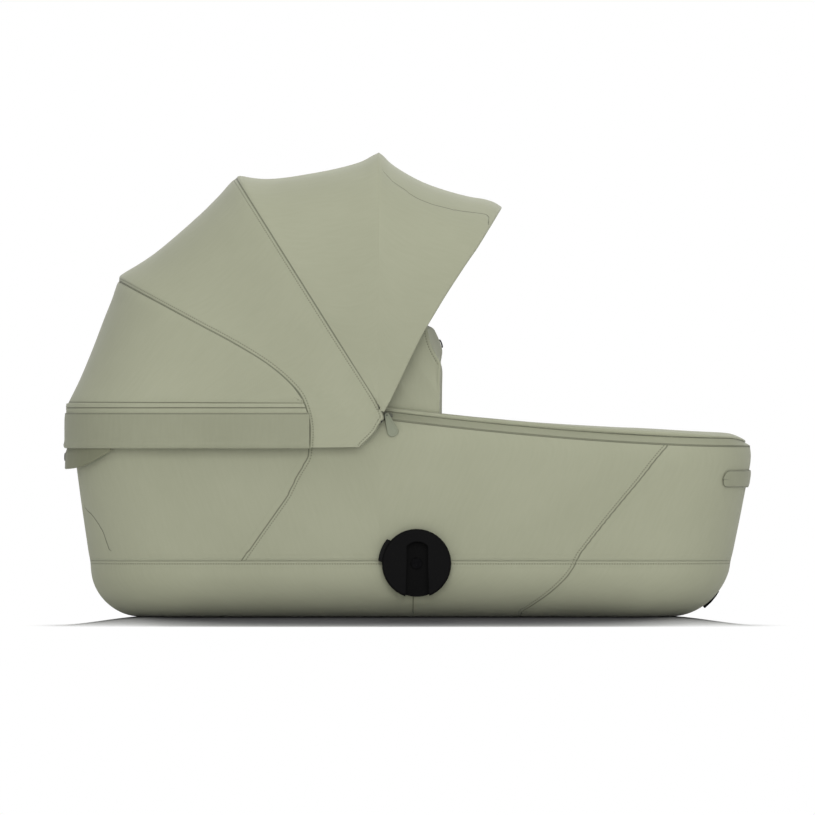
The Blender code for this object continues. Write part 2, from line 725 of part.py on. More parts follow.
def build_canopy_cloth():
    half_gap = GAP / 2
    seam_behind = side_seam(-half_gap)
    seam_before = side_seam(half_gap)
    low_point, next_point = seam_behind[1], seam_behind[2]
    start_share = (CANOPY_ZIP_TOP_Z + GAP - low_point[1]) / (next_point[1] - low_point[1])
    zip_start_x = mix(low_point[0], next_point[0], start_share) - GAP
    front_corner = [(HINGE_X - CORNER_BACK * back, HINGE_Z - CORNER_DROP * down)
                    for back, down in CORNER_SHARES]

    grids = []
    for inset in (0.0, CANOPY_CLOTH):
        top_line = cloth_edge(REAR_ANGLE, REAR_RADIUS, inset, half_gap, SIDE_SEAM_REACH, ARCH_STEPS,
                              seam_behind[2:])
        low_line = skirt_line(REAR_PANEL_INSET + inset, CANOPY_ZIP_TOP_Z + GAP, zip_start_x)
        grids.append(sagged(low_line, top_line, REAR_SAG))
    place("canopy_rear_panel", sheet("canopy_rear_panel", *grids), "sage_cloth")

    grids = []
    for inset in (0.0, CANOPY_CLOTH):
        rear_line = cloth_edge(REAR_ANGLE, REAR_RADIUS, inset, -half_gap, SIDE_SEAM_REACH, ARCH_STEPS,
                               seam_before)
        front_line = cloth_edge(MID_REAR_ANGLE, MID_REAR_RADIUS, inset, half_gap, foot_points=front_corner)
        grids.append(sagged(rear_line, front_line, MIDDLE_SAG))
    place("canopy_mid_panel", sheet("canopy_mid_panel", *grids), "sage_cloth")

    panels = (
        ("canopy_top_panel", BOWS[1], BOWS[2], TOP_SAG),
        ("canopy_front_panel", BOWS[2], BOWS[3], FRONT_SAG),
    )
    for name, behind, before, sag in panels:
        grids = []
        for inset in (0.0, CANOPY_CLOTH):
            rear_line = cloth_edge(behind[1], behind[2], inset, -half_gap)
            front_line = cloth_edge(before[1], before[2], inset, half_gap)
            grids.append(sagged(rear_line, front_line, sag))
        place(name, sheet(name, *grids), "sage_cloth", (HINGE_X, 0, HINGE_Z))

    skirt_band("canopy_skirt", 0.0, SKIRT_CLOTH, SKIRT_LOW_Z, SKIRT_TOP_Z, SIDE_SEAM_X - GAP, "sage_band")
    skirt_band("canopy_zip_tape", CANOPY_ZIP_INSET, ZIP_TAPE, SKIRT_TOP_Z + GAP, CANOPY_ZIP_TOP_Z,
               zip_start_x, "sage_cloth")
    build_rear_flap()


def between_sides(line, half_width):
    """The part of a head-end line that lies within a distance of the middle."""
    kept = []
    for before, after in zip(line, line[1:]):
        if abs(before.y) < half_width:
            kept.append(before)
        for side in (-half_width, half_width):
            if min(before.y, after.y) < side < max(before.y, after.y):
                kept.append(before.lerp(after, (side - before.y) / (after.y - before.y)))
    return kept


def build_rear_flap():
    """Flap that hangs inside the skirt at the head end, with a small tag on it."""
    half_width = TUB_HALF_WIDTH - REAR_FLAP_SIDE_INSET
    grids = []
    for inset in (REAR_FLAP_INSET, REAR_FLAP_INSET + REAR_FLAP_CLOTH):
        low, high = [], []
        for point in between_sides(skirt_line(inset, SKIRT_LOW_Z, SIDE_SEAM_X), half_width):
            side_share = max(abs(point.y) / half_width - REAR_FLAP_FLAT_SHARE, 0)
            side_share = side_share / (1 - REAR_FLAP_FLAT_SHARE)
            low_z = mix(REAR_FLAP_LOW_Z, SKIRT_LOW_Z - OVERRUN, side_share ** 2)
            low.append(Vector((point.x, point.y, low_z)))
            high.append(Vector((point.x, point.y, SKIRT_LOW_Z + 2 * OVERRUN)))
        grids.append([low, high])
    place("rear_flap", sheet("rear_flap", *grids), "sage_cloth")
    face_x = SKIRT_HEAD_X + REAR_FLAP_INSET - GAP
    tag_outline = [(-TAG_HALF_WIDTH, REAR_TAG_LOW_Z), (TAG_HALF_WIDTH, REAR_TAG_LOW_Z),
                   (TAG_HALF_WIDTH, REAR_TAG_HIGH_Z), (-TAG_HALF_WIDTH, REAR_TAG_HIGH_Z)]
    grids = [[[Vector((face_x - depth, y, z)) for y, z in tag_outline[:2]],
              [Vector((face_x - depth, y, z)) for y, z in reversed(tag_outline[2:])]]
             for depth in (TAG_THICKNESS, 0.0)]
    place("rear_tag", sheet("rear_tag", *grids), "black_tag")


def bow_plane(angle):
    """Turns a flat mesh into a bow's plane: its X goes across and its Y along the reach."""
    out = radial(angle, 1.0) - radial(angle, 0.0)
    across = Vector((0, 1, 0))
    square = across.cross(out)
    turn = Matrix((across, out, square)).transposed().to_4x4()
    return Matrix.Translation((HINGE_X, 0, HINGE_Z)) @ turn


def build_bows():
    for number, (name, angle, cloth_radius, back) in enumerate(BOWS):
        eye_inner = PLATE_FRONT + BOW_SPACING + number * EYE_PITCH
        eye_outer = eye_inner + BOW_THICKNESS
        radius = cloth_radius - BOW_DROP
        outer = arch_sweep(radius, eye_outer, BOW_START, BOW_STEPS)
        inner = arch_sweep(radius - BOW_THICKNESS, eye_inner, BOW_START, BOW_STEPS)
        outline = [(across, reach) for reach, across in outer]
        outline += [(across, reach) for reach, across in reversed(inner)]
        strip = flat_mesh(name, [outline], BOW_WIDTH)
        strip.transform(bow_plane(angle) @ Matrix.Translation((0, 0, -back)))
        bow = place(name, strip, "bow_plastic", (HINGE_X, 0, HINGE_Z))
        for side, word in ((1, "left"), (-1, "right")):
            eye_name = name + "_eye_" + word
            eye = round_bar(eye_name, EYE_RADIUS, side, eye_inner, eye_outer, HINGE_X, HINGE_Z, SMALL_STEPS)
            combine(bow, cutter(eye_name, eye), "UNION")
            hole_name = name + "_hole_" + word
            hole = round_bar(hole_name, PIN_RADIUS + PIN_GAP, side, eye_inner - BOW_SPACING / 2,
                             eye_outer + BOW_SPACING / 2, HINGE_X, HINGE_Z, SMALL_STEPS)
            combine(bow, cutter(hole_name, hole))


def turned_side(name, profile, side, base, x, z):
    """Turned piece lying across, its profile as (radius, distance outwards from base) pairs."""
    def build(cage):
        grid = [cage.verts.new((radius, 0, height)) for radius, height in reversed(profile)]
        for low, high in zip(grid, grid[1:]):
            cage.edges.new((low, high))
        bmesh.ops.spin(cage, geom=cage.verts[:] + cage.edges[:], axis=(0, 0, 1), cent=(0, 0, 0),
                       steps=SMALL_STEPS, angle=math.tau)
        bmesh.ops.remove_doubles(cage, verts=cage.verts, dist=GAP / 10)
        bmesh.ops.recalc_face_normals(cage, faces=cage.faces)
    mesh = mesh_of(name, build)
    turn = Matrix.Rotation(math.radians(-90 * side), 4, "X")
    mesh.transform(Matrix.Translation((x, side * base, z)) @ turn)
    return mesh


def build_hinges():
    for side, word in ((1, "left"), (-1, "right")):
        turn = math.radians(HINGE_PLATE_ANGLE)
        outline = []
        ends = (((HINGE_X, HINGE_Z), turn - math.pi / 2), (rivet_place(0), turn + math.pi / 2))
        for (centre_x, centre_z), first in ends:
            for step in range(SMALL_STEPS // 2 + 1):
                angle = first - math.pi * step / (SMALL_STEPS // 2)
                outline.append((centre_x + EYE_RADIUS * math.cos(angle),
                                centre_z + EYE_RADIUS * math.sin(angle)))
        holes = [circle(PIN_RADIUS + PIN_GAP, SMALL_STEPS, (HINGE_X, HINGE_Z))]
        holes += [circle(RIVET_RADIUS + PIN_GAP, SMALL_STEPS, rivet_place(number)) for number in (0, 1)]
        name = "hinge_plate_" + word
        place(name, side_plate(name, [outline] + holes, side, PLATE_BACK, PLATE_FRONT), "black_plastic")

        length = PIN_HEAD_BACK - PLATE_BACK
        profile = [(0, 0), (PIN_RADIUS, 0), (PIN_RADIUS, length), (PIN_HEAD_RADIUS, length),
                   (PIN_HEAD_RADIUS, length + PIN_HEAD), (0, length + PIN_HEAD)]
        name = "hinge_pin_" + word
        place(name, turned_side(name, profile, side, PLATE_BACK, HINGE_X, HINGE_Z), "steel")

        for number, level in enumerate(("lower", "upper")):
            x, z = rivet_place(number)
            wall = min(shell_wall_y(z - RIVET_HEAD_RADIUS), shell_wall_y(z + RIVET_HEAD_RADIUS))
            inner = wall - SHELL_THICKNESS - RIVET_HEAD - GAP
            length = PLATE_FRONT + GAP - inner
            profile = [(0, 0), (RIVET_HEAD_RADIUS, 0), (RIVET_HEAD_RADIUS, RIVET_HEAD),
                       (RIVET_RADIUS, RIVET_HEAD), (RIVET_RADIUS, length), (RIVET_HEAD_RADIUS, length),
                       (RIVET_HEAD_RADIUS, length + RIVET_HEAD), (0, length + RIVET_HEAD)]
            name = "hinge_rivet_%s_%s" % (level, word)
            place(name, turned_side(name, profile, side, inner, x, z), "steel")


# The apron's shape

def apron_extent(x):
    """Foot end, half width and corner radius of the apron's outline."""
    z = rim_z(x) + ZIP_RISE
    return tub_extent(z, COVER_LAYER, shoulder_inset(x, z) + APRON_EDGE_INSET)[1:]


def apron_edge_distance(x, y):
    foot, half_width, corner = apron_extent(x)
    along = x - (foot - corner)
    across = abs(y) - (half_width - corner)
    if along > 0 and across > 0:
        return max(corner - math.hypot(along, across), 0)
    return max(min(corner - along, corner - across), 0)


def apron_top(x, y):
    """Height of the apron's upper side: a low crown that starts steeply at the edge."""
    share = min(apron_edge_distance(x, y) / APRON_SHOULDER, 1)
    return rim_z(x) + ZIP_RISE + GAP + APRON_THICKNESS + APRON_CROWN * (1 - (1 - share) ** 2)


def mirrored_shares(shares):
    return [-share for share in reversed(shares[1:])] + list(shares)


def build_apron():
    foot, half_width, corner = apron_extent(RIM_LEVEL_X)
    top, under = [], []
    for across_share in mirrored_shares(APRON_ACROSS_SHARES):
        tail = (abs(across_share) - APRON_TAIL_INNER_SHARE) / (APRON_TAIL_OUTER_SHARE - APRON_TAIL_INNER_SHARE)
        head_x = mix(APRON_HEAD_X, APRON_TAIL_X, min(max(tail, 0), 1))
        past = max(abs(across_share) * half_width - (half_width - corner), 0)
        foot_x = foot - corner + math.sqrt(max(corner ** 2 - past ** 2, 0))
        top_row, under_row = [], []
        for along_share in APRON_ALONG_SHARES:
            x = mix(head_x, foot_x, along_share)
            y = across_share * apron_extent(x)[1]
            z = apron_top(x, y)
            top_row.append(Vector((x, y, z)))
            under_row.append(Vector((x, y, z - APRON_THICKNESS)))
        top.append(top_row)
        under.append(under_row)
    place("apron", sheet("apron", top, under), "sage_cloth")

    outer = [tub_line(below_rim(-GAP), COVER_LAYER, GAP, foot_plan),
             tub_line(below_rim(-ZIP_RISE), COVER_LAYER, ZIP_LEAN, foot_plan)]
    inner = [tub_line(below_rim(-GAP), COVER_LAYER, GAP + ZIP_TAPE, foot_plan),
             tub_line(below_rim(ZIP_TAPE / 2 - ZIP_RISE), COVER_LAYER, ZIP_LEAN + ZIP_TAPE, foot_plan)]
    place("zip_tape", sheet("zip_tape", outer, inner), "sage_band")
    build_slider()


def build_slider():
    """Zip slider and its hanging pull, on the near side."""
    low = rim_z(SLIDER_START_X)
    middle_z = low + SLIDER_HEIGHT / 2
    inner = wall_y(low) + GAP
    end_x = SLIDER_START_X + SLIDER_LENGTH
    outline = [(SLIDER_START_X, low), (end_x, low + SLIDER_HEIGHT / 4), (end_x, low + SLIDER_HEIGHT * 3 / 4),
               (SLIDER_START_X, low + SLIDER_HEIGHT)]
    outer = inner + SLIDER_THICKNESS
    mesh = side_plate("zip_slider", [outline], -1, inner, outer)
    slider = place("zip_slider", mesh, "black_plastic")
    pin_x = SLIDER_START_X + SLIDER_LENGTH / 3
    pin_outer = outer + PULL_THICKNESS + 2 * GAP
    pin = round_bar("zip_slider_pin", PULL_PIN_RADIUS, -1, inner + GAP, pin_outer, pin_x, middle_z, SMALL_STEPS)
    combine(slider, cutter("zip_slider_pin", pin), "UNION")

    tilt = math.radians(PULL_TILT)
    reach = PULL_LENGTH - PULL_TOP_RADIUS - PULL_END_RADIUS
    outline = []
    for step in range(SMALL_STEPS // 2 + 1):
        angle = math.pi * step / (SMALL_STEPS // 2)
        outline.append((PULL_TOP_RADIUS * math.cos(angle), PULL_TOP_RADIUS * math.sin(angle)))
    for step in range(SMALL_STEPS // 2 + 1):
        angle = math.pi + math.pi * step / (SMALL_STEPS // 2)
        outline.append((PULL_END_RADIUS * math.cos(angle), PULL_END_RADIUS * math.sin(angle) - reach))
    hole = circle(PULL_PIN_RADIUS + PIN_GAP, SMALL_STEPS)
    turned = []
    for points in (outline, hole):
        turned.append([(x * math.cos(tilt) - z * math.sin(tilt), x * math.sin(tilt) + z * math.cos(tilt))
                       for x, z in points])
    pull_inner = outer + GAP
    mesh = side_plate("zip_pull", turned, -1, pull_inner, pull_inner + PULL_THICKNESS, pin_x, middle_z)
    place("zip_pull", mesh, "sage_rubber", (pin_x, -pull_inner, middle_z))


def flap_half_width(x):
    return apron_extent(x)[1] - FLAP_INSET


def flap_hinge_z():
    """The flap turns about the apron's top where it crosses the middle."""
    return apron_top(FLAP_X, 0) + 2 * GAP


def flap_x(z):
    share = (z - flap_hinge_z()) / (FLAP_TOP_Z - flap_hinge_z())
    return FLAP_X - FLAP_LEAN * curve_through(FLAP_LEAN_SHARES, max(share, 0))


def build_wind_flap():
    """Flap that stands on the apron's head edge between two wings."""
    half_width = flap_half_width(FLAP_X)
    outer, inner = [], []
    for across_share in mirrored_shares(FLAP_ACROSS_SHARES):
        y = across_share * half_width
        low = apron_top(FLAP_X - FLAP_THICKNESS, y) + 2 * GAP
        high = mix(FLAP_CORNER_Z, FLAP_TOP_Z, math.sqrt(1 - abs(across_share) ** ARCH_POWER))
        outer_row, inner_row = [], []
        for up_share in FLAP_UP_SHARES:
            z = mix(low, high, up_share)
            outer_row.append(Vector((flap_x(z), y, z)))
            inner_row.append(Vector((flap_x(z) - FLAP_THICKNESS, y, z)))
        outer.append(outer_row)
        inner.append(inner_row)
    place("wind_flap", sheet("wind_flap", outer, inner), "sage_cloth", (FLAP_X, 0, flap_hinge_z()))

    front_x = FLAP_X - FLAP_THICKNESS - GAP
    for side, word in ((1, "left"), (-1, "right")):
        outer, inner = [], []
        for along_share in WING_ALONG_SHARES:
            x = mix(WING_BACK_X, front_x, along_share)
            rise = min(max((front_x - x) / (front_x - WING_TOP_X), 0), 1)
            high = mix(FLAP_CORNER_Z, WING_TOP_Z, rise)
            y = flap_half_width(max(x, APRON_TAIL_X))
            low = apron_top(x, y - FLAP_THICKNESS) + 2 * GAP
            outer.append([Vector((x, side * y, mix(low, high, up))) for up in (0, 0.5, 1)])
            inner.append([Vector((x, side * (y - FLAP_THICKNESS), mix(low, high, up))) for up in (0, 0.5, 1)])
        name = "wind_flap_wing_" + word
        place(name, sheet(name, outer, inner), "sage_cloth")

    grids = []
    for depth in (GAP + TAG_THICKNESS, GAP):
        rows = []
        for z in (FLAP_TAG_LOW_Z, FLAP_TAG_HIGH_Z):
            rows.append([Vector((flap_x(z) + depth, y, z)) for y in (-TAG_HALF_WIDTH, TAG_HALF_WIDTH)])
        grids.append(rows)
    place("flap_tag", sheet("flap_tag", *grids), "black_tag", (FLAP_X, 0, flap_hinge_z()))


def foot_x_at(y, z, more):
    """The foot wall's x at a distance from the middle and a height."""
    head, foot, half_width, corner = tub_extent(z, COVER_LAYER, more)
    past = max(abs(y) - (half_width - corner), 0)
    return foot - corner + math.sqrt(corner ** 2 - past ** 2)


def build_foot_end():
    """Strap across the foot end, and a bumper under it at the bottom corner."""
    block = tub_block("tub_outside", -GAP)
    middle_z = (STRAP_LOW_Z + STRAP_HIGH_Z) / 2
    head, foot, half_width, corner = tub_extent(middle_z, COVER_LAYER)
    reach_share = (STRAP_END_X - (foot - corner)) / corner
    end_angle = math.acos(reach_share)
    straight = half_width - corner
    angles = [end_angle * (1 - step / CORNER_STEPS) for step in range(CORNER_STEPS + 1)]
    half = [straight + corner * math.sin(angle) for angle in angles]
    across = [-y for y in half] + [0] + list(reversed(half))
    grids = []
    for more in (-STRAP_PROUD, OVERRUN):
        grids.append([[Vector((foot_x_at(y, z, more), y, z)) for y in across]
                      for z in (STRAP_LOW_Z, STRAP_HIGH_Z)])
    strap = place("foot_strap", sheet("foot_strap", *grids), "sage_band")
    combine(strap, cutter("tub_outside_strap", block))

    low_x = foot_x_at(0, BUMPER_LOW_Z, 0)
    high_x = foot_x_at(0, BUMPER_HIGH_Z, 0)
    lean = Vector((high_x - low_x, 0, BUMPER_HIGH_Z - BUMPER_LOW_Z)).normalized()
    out = Vector((lean.z, 0, -lean.x))
    grids = []
    for proud in (BUMPER_PROUD, -BUMPER_PROUD):
        rows = []
        for up_share, taper in BUMPER_SHARES:
            z = mix(BUMPER_LOW_Z, BUMPER_HIGH_Z, up_share)
            base = Vector((foot_x_at(0, z, 0), 0, z)) + out * (proud * taper if proud > 0 else proud)
            rows.append([base + Vector((0, y, 0)) for y in (-BUMPER_HALF_WIDTH, BUMPER_HALF_WIDTH)])
        grids.append(rows)
    bumper = place("toe_bumper", sheet("toe_bumper", *grids), "black_plastic")
    combine(bumper, cutter("tub_outside_bumper", block.copy()))


def slot_outline():
    """Slot for the pushchair's prong: open at the bottom, with an arched top."""
    centre = HUB_X + SLOT_OFFSET_X
    half = SLOT_WIDTH / 2
    rise = SLOT_TOP_Z - SLOT_SHOULDER_Z
    radius = (half ** 2 + rise ** 2) / (2 * rise)
    arc_centre_z = SLOT_TOP_Z - radius
    spread = math.asin(half / radius)
    steps = SMALL_STEPS // 2
    low_z = HUB_Z - HUB_RADIUS - OVERRUN
    outline = [(centre - half - SLOT_FLARE, low_z), (centre + half + SLOT_FLARE, low_z), (centre + half, HUB_Z)]
    for step in range(steps + 1):
        angle = spread * (1 - 2 * step / steps)
        outline.append((centre + radius * math.sin(angle), arc_centre_z + radius * math.cos(angle)))
    return outline + [(centre - half, HUB_Z)]


def button_outline(tip, root, half_width):
    """Outline with parallel sides and a round tip, its length along the button's travel."""
    steps = SMALL_STEPS // 2
    spread = math.asin(half_width / tip)
    local = [(root, -half_width)]
    for step in range(steps + 1):
        angle = spread * (2 * step / steps - 1)
        local.append((tip * math.cos(angle), tip * math.sin(angle)))
    local.append((root, half_width))
    turn = math.radians(BUTTON_ANGLE)
    return [(HUB_X + u * math.cos(turn) - v * math.sin(turn), HUB_Z + u * math.sin(turn) + v * math.cos(turn))
            for u, v in local]


def build_adapters():
    block = tub_block("shell_outside", SHELL_INSET - GAP)
    middle_y = (HUB_BACK + GAP + HUB_FRONT) / 2
    for side, word in ((1, "left"), (-1, "right")):
        name = "adapter_plate_" + word
        puck = place(name, round_bar(name, PUCK_RADIUS, side, PUCK_BACK, HUB_BACK, HUB_X, HUB_Z), "black_plastic")
        combine(puck, cutter("shell_outside_" + word, block.copy()))
        recess = round_bar("recess_" + word, SCREW_RECESS_RADIUS, side, HUB_BACK - SCREW_RECESS_DEPTH,
                           HUB_BACK + OVERRUN, HUB_X, HUB_Z, SMALL_STEPS)
        combine(puck, cutter("recess_" + word, recess))
        hole = screw_hole("puck_hole_" + word, side)
        combine(puck, cutter("puck_hole_" + word, hole))

        name = "adapter_housing_" + word
        body = round_bar(name, HUB_RADIUS, side, HUB_BACK + GAP, HUB_FRONT, HUB_X, HUB_Z)
        housing = place(name, body, "black_plastic")
        edge = housing.modifiers.new("edge", "BEVEL")
        edge.width = HUB_EDGE
        edge.segments = 2
        edge.limit_method = "ANGLE"
        slot_name = "slot_" + word
        slot = side_plate(slot_name, [slot_outline()], side, HUB_BACK - OVERRUN, HUB_FRONT + OVERRUN)
        combine(housing, cutter(slot_name, slot))
        pocket_half = BUTTON_THICKNESS / 2 + BUTTON_CLEARANCE
        pocket_outline = button_outline(HUB_RADIUS + OVERRUN, BUTTON_POCKET, BUTTON_HALF_WIDTH + BUTTON_CLEARANCE)
        pocket_name = "pocket_" + word
        pocket = side_plate(pocket_name, [pocket_outline], side, middle_y - pocket_half, middle_y + pocket_half)
        combine(housing, cutter(pocket_name, pocket))

        name = "release_button_" + word
        outline = button_outline(BUTTON_TIP, BUTTON_ROOT, BUTTON_HALF_WIDTH)
        half = BUTTON_THICKNESS / 2
        x, z = hub_direction(BUTTON_ROOT)
        place(name, side_plate(name, [outline], side, middle_y - half, middle_y + half), "black_plastic",
              (x, side * middle_y, z))
        build_spring("button_spring_" + word, side * middle_y)
        build_screw(side, word)


def build_spring(name, y):
    """Coil spring between the pocket's end and the button."""
    start = BUTTON_POCKET + SPRING_WIRE + GAP
    length = BUTTON_ROOT - GAP - SPRING_WIRE - start
    turn = math.radians(BUTTON_ANGLE)
    along = Vector((math.cos(turn), 0, math.sin(turn)))
    side_a = Vector((0, 1, 0))
    side_b = along.cross(side_a)
    centre = Vector((HUB_X, y, HUB_Z))
    steps = round(SPRING_TURNS * SPRING_STEPS)
    coil = bpy.data.curves.new(name, "CURVE")
    coil.dimensions = "3D"
    coil.bevel_depth = SPRING_WIRE
    coil.bevel_resolution = 0
    coil.use_fill_caps = True
    spline = coil.splines.new("POLY")
    spline.points.add(steps)
    for step, point in enumerate(spline.points):
        angle = math.tau * step / SPRING_STEPS
        place_on_coil = centre + along * (start + length * step / steps)
        place_on_coil += (side_a * math.cos(angle) + side_b * math.sin(angle)) * SPRING_RADIUS
        point.co = (*place_on_coil, 1)
    place(name, coil, "steel")


def build_screw(side, word):
    """Screw through the plate and the shell, and its nut inside."""
    seat = HUB_BACK - SCREW_RECESS_DEPTH + GAP
    tail = NUT_BACK - NUT_THICKNESS
    length = seat - tail
    profile = [(0, 0), (SCREW_RADIUS, 0), (SCREW_RADIUS, length), (SCREW_HEAD_RADIUS, length),
               (SCREW_HEAD_RADIUS, length + SCREW_HEAD), (SCREW_SOCKET_RADIUS, length + SCREW_HEAD),
               (SCREW_SOCKET_RADIUS, length + SCREW_HEAD - SCREW_SOCKET_DEPTH),
               (0, length + SCREW_HEAD - SCREW_SOCKET_DEPTH)]
    name = "adapter_screw_" + word
    place(name, turned_side(name, profile, side, tail, HUB_X, HUB_Z), "steel")
    name = "adapter_nut_" + word
    outlines = [circle(NUT_RADIUS, 6), circle(SCREW_RADIUS + PIN_GAP, SMALL_STEPS)]
    mesh = side_plate(name, outlines, side, NUT_BACK - NUT_THICKNESS, NUT_BACK, HUB_X, HUB_Z)
    place(name, mesh, "steel")


def build_carrycot():
    for old in list(bpy.data.objects):
        bpy.data.objects.remove(old)
    bpy.context.scene.collection.children.link(COLLECTION)
    bpy.context.scene.collection.children.link(CUTTERS)
    build_tub()
    build_canopy_cloth()
    build_bows()
    build_hinges()
    build_apron()
    build_wind_flap()
    build_foot_end()
    build_adapters()
    for piece in COLLECTION.objects:
        if piece.type == "MESH":
            piece.data.shade_smooth()
            piece.data.set_sharp_from_angle(angle=math.radians(35))


build_carrycot()
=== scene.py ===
"""Carrycot with a folding canopy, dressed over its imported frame.
Lengths are in metres. +X is towards the foot end, +Z is up, and the near side is -Y."""
import math

import bmesh
import bpy
import numpy as np
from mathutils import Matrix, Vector, noise


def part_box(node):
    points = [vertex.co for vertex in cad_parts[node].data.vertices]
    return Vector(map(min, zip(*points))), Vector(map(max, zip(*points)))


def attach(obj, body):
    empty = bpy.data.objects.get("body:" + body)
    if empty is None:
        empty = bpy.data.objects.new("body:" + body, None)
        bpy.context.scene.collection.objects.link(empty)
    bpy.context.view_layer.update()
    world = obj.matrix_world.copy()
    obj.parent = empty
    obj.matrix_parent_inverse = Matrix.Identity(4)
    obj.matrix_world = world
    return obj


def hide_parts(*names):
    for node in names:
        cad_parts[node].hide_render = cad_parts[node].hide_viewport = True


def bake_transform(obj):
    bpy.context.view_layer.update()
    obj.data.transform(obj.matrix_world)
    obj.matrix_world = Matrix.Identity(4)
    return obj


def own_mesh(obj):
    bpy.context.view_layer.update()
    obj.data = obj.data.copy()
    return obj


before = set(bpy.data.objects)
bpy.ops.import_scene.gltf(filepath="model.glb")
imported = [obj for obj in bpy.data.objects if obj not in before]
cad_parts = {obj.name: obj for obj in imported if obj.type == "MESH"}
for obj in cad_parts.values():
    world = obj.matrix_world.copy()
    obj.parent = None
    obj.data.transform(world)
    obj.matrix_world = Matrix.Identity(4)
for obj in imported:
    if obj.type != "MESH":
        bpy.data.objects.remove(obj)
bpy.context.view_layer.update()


# Tub shell: one injection-moulded tray of black polypropylene, which carries every other piece.
# It shows only from inside the hood and behind the adapters, so its own solid stays.
MOULD_GRAIN = 0.0014     # spark-eroded grain is about 0.3 mm, drawn coarser so that it shows
POLISH_SPREAD = 0.06     # roughness up and down, where the mould is worn or fresh
ROUND_OVER_TURN = math.radians(40)   # an edge that turns by more than this is broken
SHARP_TURN = math.radians(38)        # and one that turns by more than this shades as an edge


def linear(code):
    """Linear colour of an sRGB hex value."""
    channels = [int(code[at:at + 2], 16) / 255 for at in (1, 3, 5)]
    return tuple(c / 12.92 if c <= 0.04045 else ((c + 0.055) / 1.055) ** 2.4 for c in channels) + (1.0,)


def add(tree, kind, settings=None, links=None):
    """Add a node with its settings and links, and give back its outputs."""
    node = tree.nodes.new(kind)
    for key, value in (settings or {}).items():
        if isinstance(key, str) and hasattr(node, key):
            setattr(node, key, value)
        else:
            node.inputs[key].default_value = value
    for key, source in (links or {}).items():
        tree.links.new(source, node.inputs[key])
    return node.outputs


def start_finish(name, settings):
    """New material, its node tree and its shader, whose given values are the same all over."""
    made = bpy.data.materials.new(name)
    made.use_nodes = True
    shader = made.node_tree.nodes["Principled BSDF"]
    for key, value in settings.items():
        shader.inputs[key].default_value = value
    return made, made.node_tree, shader


def moulded_plastic(name, low, high, roughness, grain=MOULD_GRAIN, relief=0.00005, shine=0.5):
    """Moulded thermoplastic: satin, with the fine pits of a spark-eroded mould and faint clouding.
    The pits of a coarse grain shade themselves, so its shine is set lower."""
    made, tree, shader = start_finish(name, {"IOR": 1.49, "Specular IOR Level": shine})
    place = add(tree, "ShaderNodeTexCoord")["Object"]
    pits = add(tree, "ShaderNodeTexNoise", {"Scale": 1 / grain, "Detail": 1.0}, {"Vector": place})[0]
    cloud = add(tree, "ShaderNodeTexNoise", {"Scale": 25.0, "Detail": 3.0}, {"Vector": place})[0]
    colours = {"data_type": "RGBA", 6: linear(low), 7: linear(high)}
    colour = add(tree, "ShaderNodeMix", colours, {0: cloud})[2]
    spread = {"To Min": roughness - POLISH_SPREAD, "To Max": roughness + POLISH_SPREAD}
    rough = add(tree, "ShaderNodeMapRange", spread, {0: cloud})
    bump = add(tree, "ShaderNodeBump", {"Distance": relief}, {"Height": pits})
    for key, source in (("Base Color", colour), ("Roughness", rough[0]), ("Normal", bump[0])):
        tree.links.new(source, shader.inputs[key])
    return made


def dress(names, material, bevel=0.0):
    """Give solids that stay their finish, smooth shading and softened edges."""
    for name in names:
        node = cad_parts[name]
        for slot in node.material_slots:
            slot.material = material
        node.data.shade_smooth()
        if bevel:
            edge = node.modifiers.new("edge", "BEVEL")
            edge.width = bevel
            edge.segments = 3
            edge.limit_method = "ANGLE"
            edge.angle_limit = ROUND_OVER_TURN
            edge.harden_normals = True
        node.data.set_sharp_from_angle(angle=SHARP_TURN)


shell_polypropylene = moulded_plastic("moulded_polypropylene_black", "#141516", "#1C1D1F", 0.48)
dress(["tub_shell"], shell_polypropylene)


# Rim frame: a drawn aluminium tube bent to the tub's outline, lying on the shell's upper edge.
# Drawing leaves fine lines along the tube, which spread its highlight along its length.
def drawn_aluminium(name, colour, roughness):
    """Drawn aluminium: bright, with fine lines that make its gloss uneven."""
    made, tree, shader = start_finish(name, {"Metallic": 1.0, "Base Color": linear(colour)})
    place = add(tree, "ShaderNodeTexCoord")["Object"]
    fine = add(tree, "ShaderNodeTexNoise", {"Scale": 900.0, "Detail": 2.0}, {"Vector": place})[0]
    spread = {"To Min": roughness - 0.08, "To Max": roughness + 0.1}
    rough = add(tree, "ShaderNodeMapRange", spread, {0: fine})
    bump = add(tree, "ShaderNodeBump", {"Distance": 0.00003}, {"Height": fine})
    tree.links.new(rough[0], shader.inputs["Roughness"])
    tree.links.new(bump[0], shader.inputs["Normal"])
    return made


dress(["rim_frame"], drawn_aluminium("drawn_aluminium", "#C9CBCC", 0.34))


